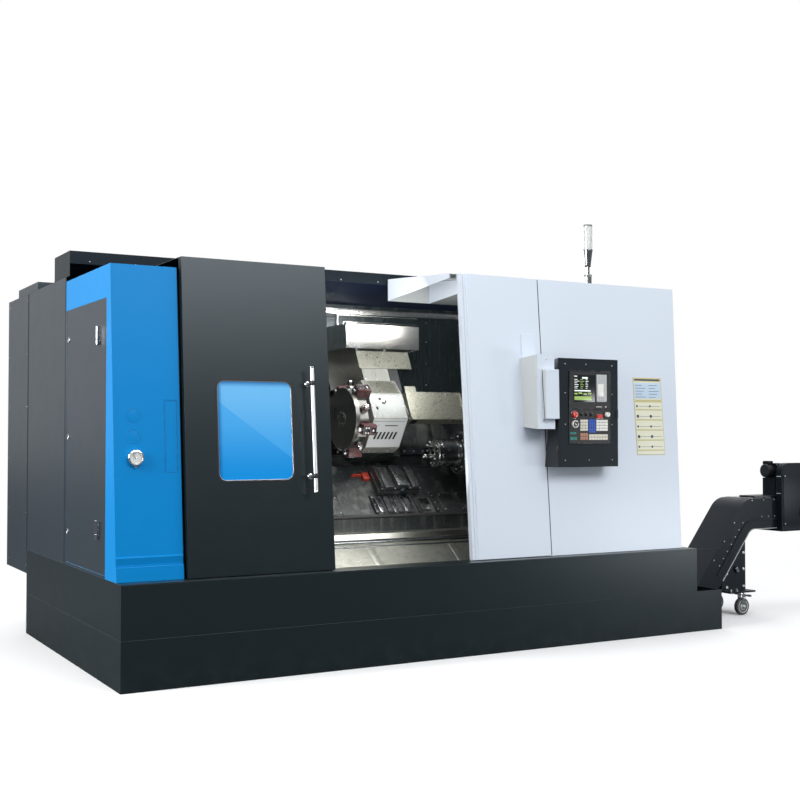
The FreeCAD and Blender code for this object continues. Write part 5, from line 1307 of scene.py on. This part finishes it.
def saddle_details():
    """Folds, end flange, black wiper and bracket screws on the saddle's covers."""
    cover = Piece("saddle_cover_details", "saddle", spangle, black_steel, screw_zinc, stainless,
                  casting).on(SLANT_FACE)
    cover.bar(2640, 2650, 196, 396, 120, 131, 0, 2)
    cover.bar(2216, 2646, 193, 197, 124, 128, 0, 1.2)
    cover.bar(2217, 2262, 186.6, 190.2, 66, 121, 1, 0.8)
    cover.cut_plate([(2218, 398), (2296, 398), (2296, 440), (2222, 440)], 122.6, 126, 0)
    cover.screws([(x, 384) for x in steps(2240, 2620, 5)] + [(2630, s) for s in (220, 300)], 4, 2, z=125)
    cover.face(0, 1100, 0)
    cover.bar(1861, 2429, 1923, 2084, 0.2, 2.2, 3, 0.8)
    for x in (1938, 2150, 2372):
        cover.bar(x - 9, x + 9, 1908, 1926, -3, 1, 1, 2)
        cover.screws([(x, 1914)], 5, 2, SOCKET_HEAD, 1)
    cover.done()


def sub_housing_details():
    """Nose ring, bolts and cover plate on the sub-spindle housing."""
    sub = Piece("sub_housing_details", "sub_carriage", turned_steel, screw_zinc, casting, rubber)
    sub.face(2592, SPINDLE_Y, SPINDLE_Z, UP, FRONT)
    sub.turned(0, 0, ((132, 0), (132, 4), (128, 6), (100, 6), (98, 1), (92, 1)), 0, 0, 60)
    sub.screws([(112 * math.cos(a), 112 * math.sin(a)) for a in steps(0.2, 5.9, 10)], 6.5, 1, SOCKET_HEAD, 5)
    sub.turned(0, 0, ((145.2, -16), (147, -18), (147, -34), (145.2, -36)), 0, 2, 60)
    sub.turned(0, 0, ((145.2, -300), (147, -302), (147, -330), (145.2, -332)), 0, 2, 60)
    sub.face(3212, SPINDLE_Y, SPINDLE_Z, UP, BACK)
    sub.turned(0, 0, ((120, 0), (120, 6), (110, 9), (40, 9), (38, 4), (0, 4)), 0, 0, 50)
    sub.screws([(100 * math.cos(a), 100 * math.sin(a)) for a in steps(0.2, 5.9, 8)], 6, 1, SOCKET_HEAD, 8)
    sub.done()


# ---- chip conveyor ----

def conveyor_details():
    """Edge flanges, bolts and lid of the conveyor's casing; the lid's pale grey is a painted reflection."""
    case = Piece("conveyor_flanges", "frame", conveyor_coat, screw_zinc, pale_grey, rubber, black_steel)
    u = Vector((math.cos(math.radians(52)), math.sin(math.radians(52))))
    v = Vector((-u.y, u.x))
    for y, side in ((450, 1), (750, -1)):
        case.face(0, y, 0, UP, (side, 0, 0))

        def strip(set_in, wide, out, finish):
            near, far = [], []
            for edge, path in ((set_in, near), (set_in + wide, far)):
                path.append(Vector((4944, 620)) - u * 470 + v * edge)
                middle = Vector((4944 + 44, 620 - 90))
                for i in range(9):
                    a = math.radians(142 - 52 * i / 8)
                    path.append(middle + Vector((math.cos(a), math.sin(a))) * (90 + edge))
                path.append(Vector((5212, 620 + edge)))
            outline = [(side * q.x, q.y) for q in near + far[::-1]]
            case.cut_plate(outline[::side], -0.5, out, finish)

        strip(66, 9, 9, 0)
        strip(0, 4, 6, 2)
        strip(75, 3, 5, 3)
        rows = ((Vector((4944, 620)) - u * d + v * 96) for d in steps(10, 400, 7))
        case.screws([(side * q.x, q.y) for q in rows], 6, 1)
        rows = ((Vector((4944, 620)) - u * d + v * 166) for d in (60, 230, 400))
        case.screws([(side * q.x, q.y) for q in rows] + [(side * x, 836) for x in (4960, 5080, 5190)], 6, 1)
        case.screws([(side * x, 712) for x in (5060, 5130, 5195)], 6, 1)
    case.face(0, 0, 850, BACK)
    # pale grey lid on the level run: a painted reflection on its top
    case.bar(4975, 5210, 464, 736, -0.4, 4, 2, 1.5)
    case.bar(4990, 5262, 455, 610, 3.5, 20, 4, 2)
    case.screws(grid((4984, 5200), (640, 720)), 5, 1, z=3.8)
    case.done()


def conveyor_head_details():
    """Cover frame, bearing cap and bolts of the chain guard, and the head's lid and side plate."""
    head = Piece("conveyor_head_details", "frame", conveyor_coat, screw_zinc, chrome, rubber, black_steel)
    head.face(0, 395, 0)
    head.ring_plate(rounded(5228, 5702, 612, 1100, 52), rounded(5232, 5698, 616, 1096, 48), -0.5, 3, 0)
    head.bar(5236, 5694, 640, 1030, -0.6, 2, 0, 1)
    head.screws(grid((5250, 5465, 5680), (654, 1016)), 6.5, 1, z=1.6)
    head.turned(5465, 735, ((62, 0), (62, 10), (56, 14), (30, 15), (26, 22), (0, 23)), 1.6, 0, 40)
    for bolt in around(5465, 735, 46, 4, 45):
        head.turned(*bolt, SOCKET_HEAD, 14, 1, 14, scale=5)
    head.face(5215, 0, 0, UP, FRONT)
    for z in (880, 1010):
        head.bar(-444, -401, z, z + 8, 0, 4, 2, 1)
    head.face(0, 0, 850, BACK)
    head.bar(5330, 5706, 458, 742, -0.4, 5, 0, 1.5)
    head.screws(grid((5350, 5520, 5690), (475, 725)), 5.5, 1, z=4.6)
    head.face(0, 750, 0, UP, LEFT)
    head.bar(-5690, -5235, 620, 830, -0.5, 3, 0, 1)
    head.turned(-5465, 735, ((58, 0), (58, 9), (50, 12), (0, 13)), 2.4, 0, 36)
    head.screws(grid((-5670, -5255), (640, 810)), 6, 1, z=2.6)
    head.face(5715, 0, 0, UP, BACK)
    head.bar(470, 730, 625, 830, -0.6, 2, 0, 1)
    head.screws(grid((490, 600, 710), (645, 812)), 6, 1, z=1.6)
    head.done()


def gearmotor_details():
    """Fan cowl, cooling fins, terminal box and clamps of the conveyor's gearmotor."""
    motor = Piece("gearmotor_details", "frame", conveyor_coat, screw_zinc, black_plastic, chrome, rubber)
    motor.face(5179, 530, 1056, UP, FRONT)
    motor.turned(0, 0, ((50, -42), (52, -40), (52, -4), (46, 2), (20, 3), (0, 3)), 0, 2, 36)
    for i in range(16):
        motor.spoke(0, 0, 22.5 * i, 40, 16, 1.6, 2, 3.8, 4)
    for i in range(20):
        motor.spoke(0, 0, 18 * i + 9, 54, 46, 1.3, -60, -42)
    motor.bar(-30, 30, 42, 74, -58, -12, 0, 4)
    motor.turned(-18, 60, ((7, 0), (7, 8), (5, 9), (5, 13), (0, 13)), -12, 2, 6)
    motor.face(0, 475, 0)
    motor.screws(grid((5250, 5308), (1012, 1100)), 6, 1, SOCKET_HEAD, 0)
    motor.turned(5279, 1056, ((34, 0), (34, 6), (30, 8), (14, 8), (12, 14), (0, 15)), 0, 0, 34)
    for z in (874, 916, 962):
        motor.bar(5222, 5316, z, z + 9, -4, 3, 3, 2)
    motor.screws(grid((5230, 5308), (862, 990)), 5.5, 1, z=-4)
    motor.done()


def leg_details():
    """Bolts, levelling screws and stop pads of the conveyor's leg."""
    leg = Piece("leg_details", "frame", conveyor_coat, screw_zinc, chrome, rubber)
    for y, side in ((455, 1), (745, -1)):
        leg.face(0, y, 0, UP, (side, 0, 0))
        for x, z in ((4700, 200), (4870, 200), (4700, 300), (4870, 330), (4870, 450)):
            leg.turned(side * x, z, ((11, 0), (11, 1.6), (8, 1.6), (8, 7), (6.5, 8), (0, 8)), 0, 1, 6)
        leg.turned(side * 4790, 330, ((12, -18), (14, -16), (14, 20), (9, 26), (0, 27)), 12, 2, 24,
                   (side * 0.55, -0.8, 0))
    leg.face(0, 0, 177, BACK)
    for y in (382, 678):
        for x in (4668, 4725):
            leg.turned(x, y, ((11, 0), (11, 2), (7, 2.4), (7, 18), (5.5, 19), (0, 19)), 0, 1, 6)
    leg.done()


def caster_details():
    """Swivel race, brake lever and axle nuts on each fork, and rim discs on each wheel."""
    for n, y in ((1, 400), (2, 660)):
        fork = Piece("caster_fork_fittings_%d" % n, "caster_swivel_%d" % n, chrome, screw_zinc, black_plastic)
        fork.face(4765, y, 164.7, BACK)
        fork.turned(0, 0, ((31, -12), (35.5, -10), (36.5, -6), (35.5, -2), (30, -0.3)), 0, 0, 36)
        fork.face(4793, 0, 62.5)
        for side in (-1, 1):
            fork.face(4793, y + side * 24, 62.5, UP, (-side, 0, 0))
            fork.turned(0, 0, ((11, 4), (11, 5.4), (8.6, 5.4), (8.6, 10), (7, 11), (0, 11)), 0, 1, 6)
            fork.turned(0, 62, ((8, 3.6), (8, 5), (5, 6.5), (0, 6.5)), 0, 1, 14)
        fork.face(4793, y, 150, BACK)
        fork.bar(26, 84, -15, 15, -16, -8, 2, 3).bar(64, 84, -19, 19, -22, -8, 2, 4)
        fork.done()
        wheel = Piece("caster_rim_%d" % n, "caster_roll_%d" % n, pale_grey, chrome, tyre)
        for side in (-1, 1):
            wheel.face(4793, y + side * 16, 62.5, UP, (-side, 0, 0))
            wheel.turned(0, 0, ((47, -1), (46, 1.4), (43, 0.6), (36, -1), (24, 0.4), (18.4, 2.6), (17, 3.2)),
                         0, 0, 44)
            for bolt in around(0, 0, 31, 5):
                wheel.turned(*bolt, ((4, 0), (4, 1), (0, 1.2)), -0.6, 1, 14)
        wheel.done()


# ---- studio ----

def studio():
    """Pale floor that fades to white, soft lamps, a bright room and the camera."""
    bpy.ops.mesh.primitive_circle_add(vertices=96, radius=40, fill_type="NGON", location=(1.0, 0, -0.0005))
    floor = bpy.context.object
    floor.name = "studio_floor"
    material, tree, shader = new_finish("studio_floor_paint", Roughness=0.7)
    place = add(tree, "TexCoord").outputs["Object"]
    far = add(tree, "VectorMath", {0: place}, operation="LENGTH").outputs["Value"]
    skin = put(tree, "peel", Color=(0.9, 0.91, 0.92, 1), Shade=0.01, Roughness=0.7)
    tree.links.new(skin["Color"], shader.inputs["Base Color"])
    light = add(tree, "Emission", {"Color": (1, 1, 1, 1), "Strength": 1.0})
    seen = add(tree, "MixShader",
               {0: spread(tree, far, *FLOOR_FADE), 1: shader.outputs[0], 2: light.outputs[0]})
    dim = add(tree, "BsdfDiffuse", {"Color": (0.12, 0.13, 0.14, 1)})
    direct = add(tree, "LightPath").outputs["Is Camera Ray"]
    mix = add(tree, "MixShader", {0: direct, 1: dim.outputs[0], 2: seen.outputs[0]})
    tree.links.new(mix.outputs[0], tree.nodes["Material Output"].inputs["Surface"])
    floor.data.materials.append(material)

    world = bpy.data.worlds.new("studio_room")
    bpy.context.scene.world = world
    world.use_nodes = True
    tree = world.node_tree
    back = tree.nodes["Background"]
    seen = add(tree, "LightPath").outputs["Is Camera Ray"]
    up = add(tree, "SeparateXYZ", {0: add(tree, "TexCoord").outputs["Generated"]})
    height = spread(tree, up.outputs[2], 0.06, 0.4, 0.1, 0.66)
    behind = spread(tree, up.outputs[1], 0.1, 0.7, 0.0, 0.42)
    shade = calc(tree, "ADD", height, behind)
    level = add(tree, "Mix", {0: seen, 2: shade, 3: 1.0}, data_type="FLOAT").outputs[0]
    tree.links.new(level, back.inputs["Strength"])
    back.inputs["Color"].default_value = (1, 1, 1, 1)

    for name, spot, size, power, colour in LAMPS:
        lamp = bpy.data.lights.new(name, "AREA")
        lamp.shape = "RECTANGLE"
        lamp.size, lamp.size_y = size
        lamp.energy = power
        lamp.color = colour
        holder = bpy.data.objects.new(name, lamp)
        holder.location = spot
        aim = WORK_AREA if "work" in name else MIDDLE
        holder.rotation_euler = (aim - holder.location).to_track_quat("-Z", "Y").to_euler()
        bpy.context.scene.collection.objects.link(holder)

    lens = bpy.data.cameras.new("camera")
    lens.lens = CAMERA_LENS
    lens.sensor_width = 36
    lens.clip_end = 200
    camera = bpy.data.objects.new("camera", lens)
    camera.location = CAMERA_PLACE
    camera.rotation_euler = CAMERA_TURN
    bpy.context.scene.collection.objects.link(camera)
    bpy.context.scene.camera = camera
    bpy.context.scene.view_settings.view_transform = "Standard"


# Each lamp: name, place and size in metres, power in watts, colour.
LAMPS = (
    ("left_soft_box", (-8.0, -1.5, 3.6), (4.0, 4.0), 620, (1.0, 0.99, 0.98)),
    ("front_soft_box", (1.0, -8.3, 5.7), (7.0, 3.0), 420, (0.97, 0.985, 1.0)),
    ("right_front_soft_box", (7.0, -6.5, 0.7), (2.4, 1.1), 95, (0.98, 0.99, 1.0)),
    ("overhead_soft_box", (0.5, 0.0, 7.5), (6.0, 4.0), 140, (1.0, 1.0, 1.0)),
    ("rear_soft_box", (3.0, 7.5, 3.5), (5.0, 3.0), 200, (1.0, 1.0, 1.0)),
    ("work_area_lamp", (0.0, -0.66, 2.18), (1.1, 0.12), 13, (1.0, 0.99, 0.96)),
    ("low_work_lamp", (-0.25, -0.84, 0.98), (0.6, 0.3), 4, (1.0, 0.99, 0.96)),
)

coat_nodes()
coat_faces("liner_panels", header_navy, lambda p, n: p.z > 2232)
coat_faces("control_box", black_plastic, lambda p, n: n.x < -0.3)
# painted shade: the canopy's underside and inner rear wall are given grey
coat_faces("right_door_canopy", canopy_painted_shade, lambda p, n: (n.y < -0.9 and p.y > 1000) or n.z < -0.5)
# painted shade: the white lock housing's left-facing faces are given pale grey
coat_faces("right_door_grip", pale_grey, lambda p, n: n.x < -0.9)
coat_faces("bed_casting", graphite, lambda p, n: p.z < 300)
coat_faces("side_door_hinges", side_grey, lambda p, n: p.x > -1 or abs(p.y - 435) > 11)
for fitting in (window_bead, handle_fittings, door_seals, lock_details, blue_column_details, gauge_face,
                info_plate, white_panel_details, control_face, screen_picture, control_keys, knob_caps,
                side_details, roof_details, cabinet_details, rear_details, base_details, beacon_details,
                back_wall_details, side_wall_details, bed_details, pan_details, turret_front,
                cross_slide_details, disc_details, lower_slide_details, saddle_details,
                sub_housing_details, conveyor_details, conveyor_head_details, gearmotor_details,
                leg_details, caster_details):
    fitting()
for kind, x, side, radius, length, bands in (("main", 1280, 1, 125, 130, ((4, 12), (70, 84))),
                                             ("sub", 2390, -1, 97, 170, ((28, 40), (150, 158)))):
    chuck_marks(kind + "_chuck_marks", kind + "_spindle", x, side, radius, length, bands)
for kind, x, side, radius in (("main", 1280, 1, 125), ("sub", 2390, -1, 97)):
    jaw_marks(kind, x, side, radius)
studio()
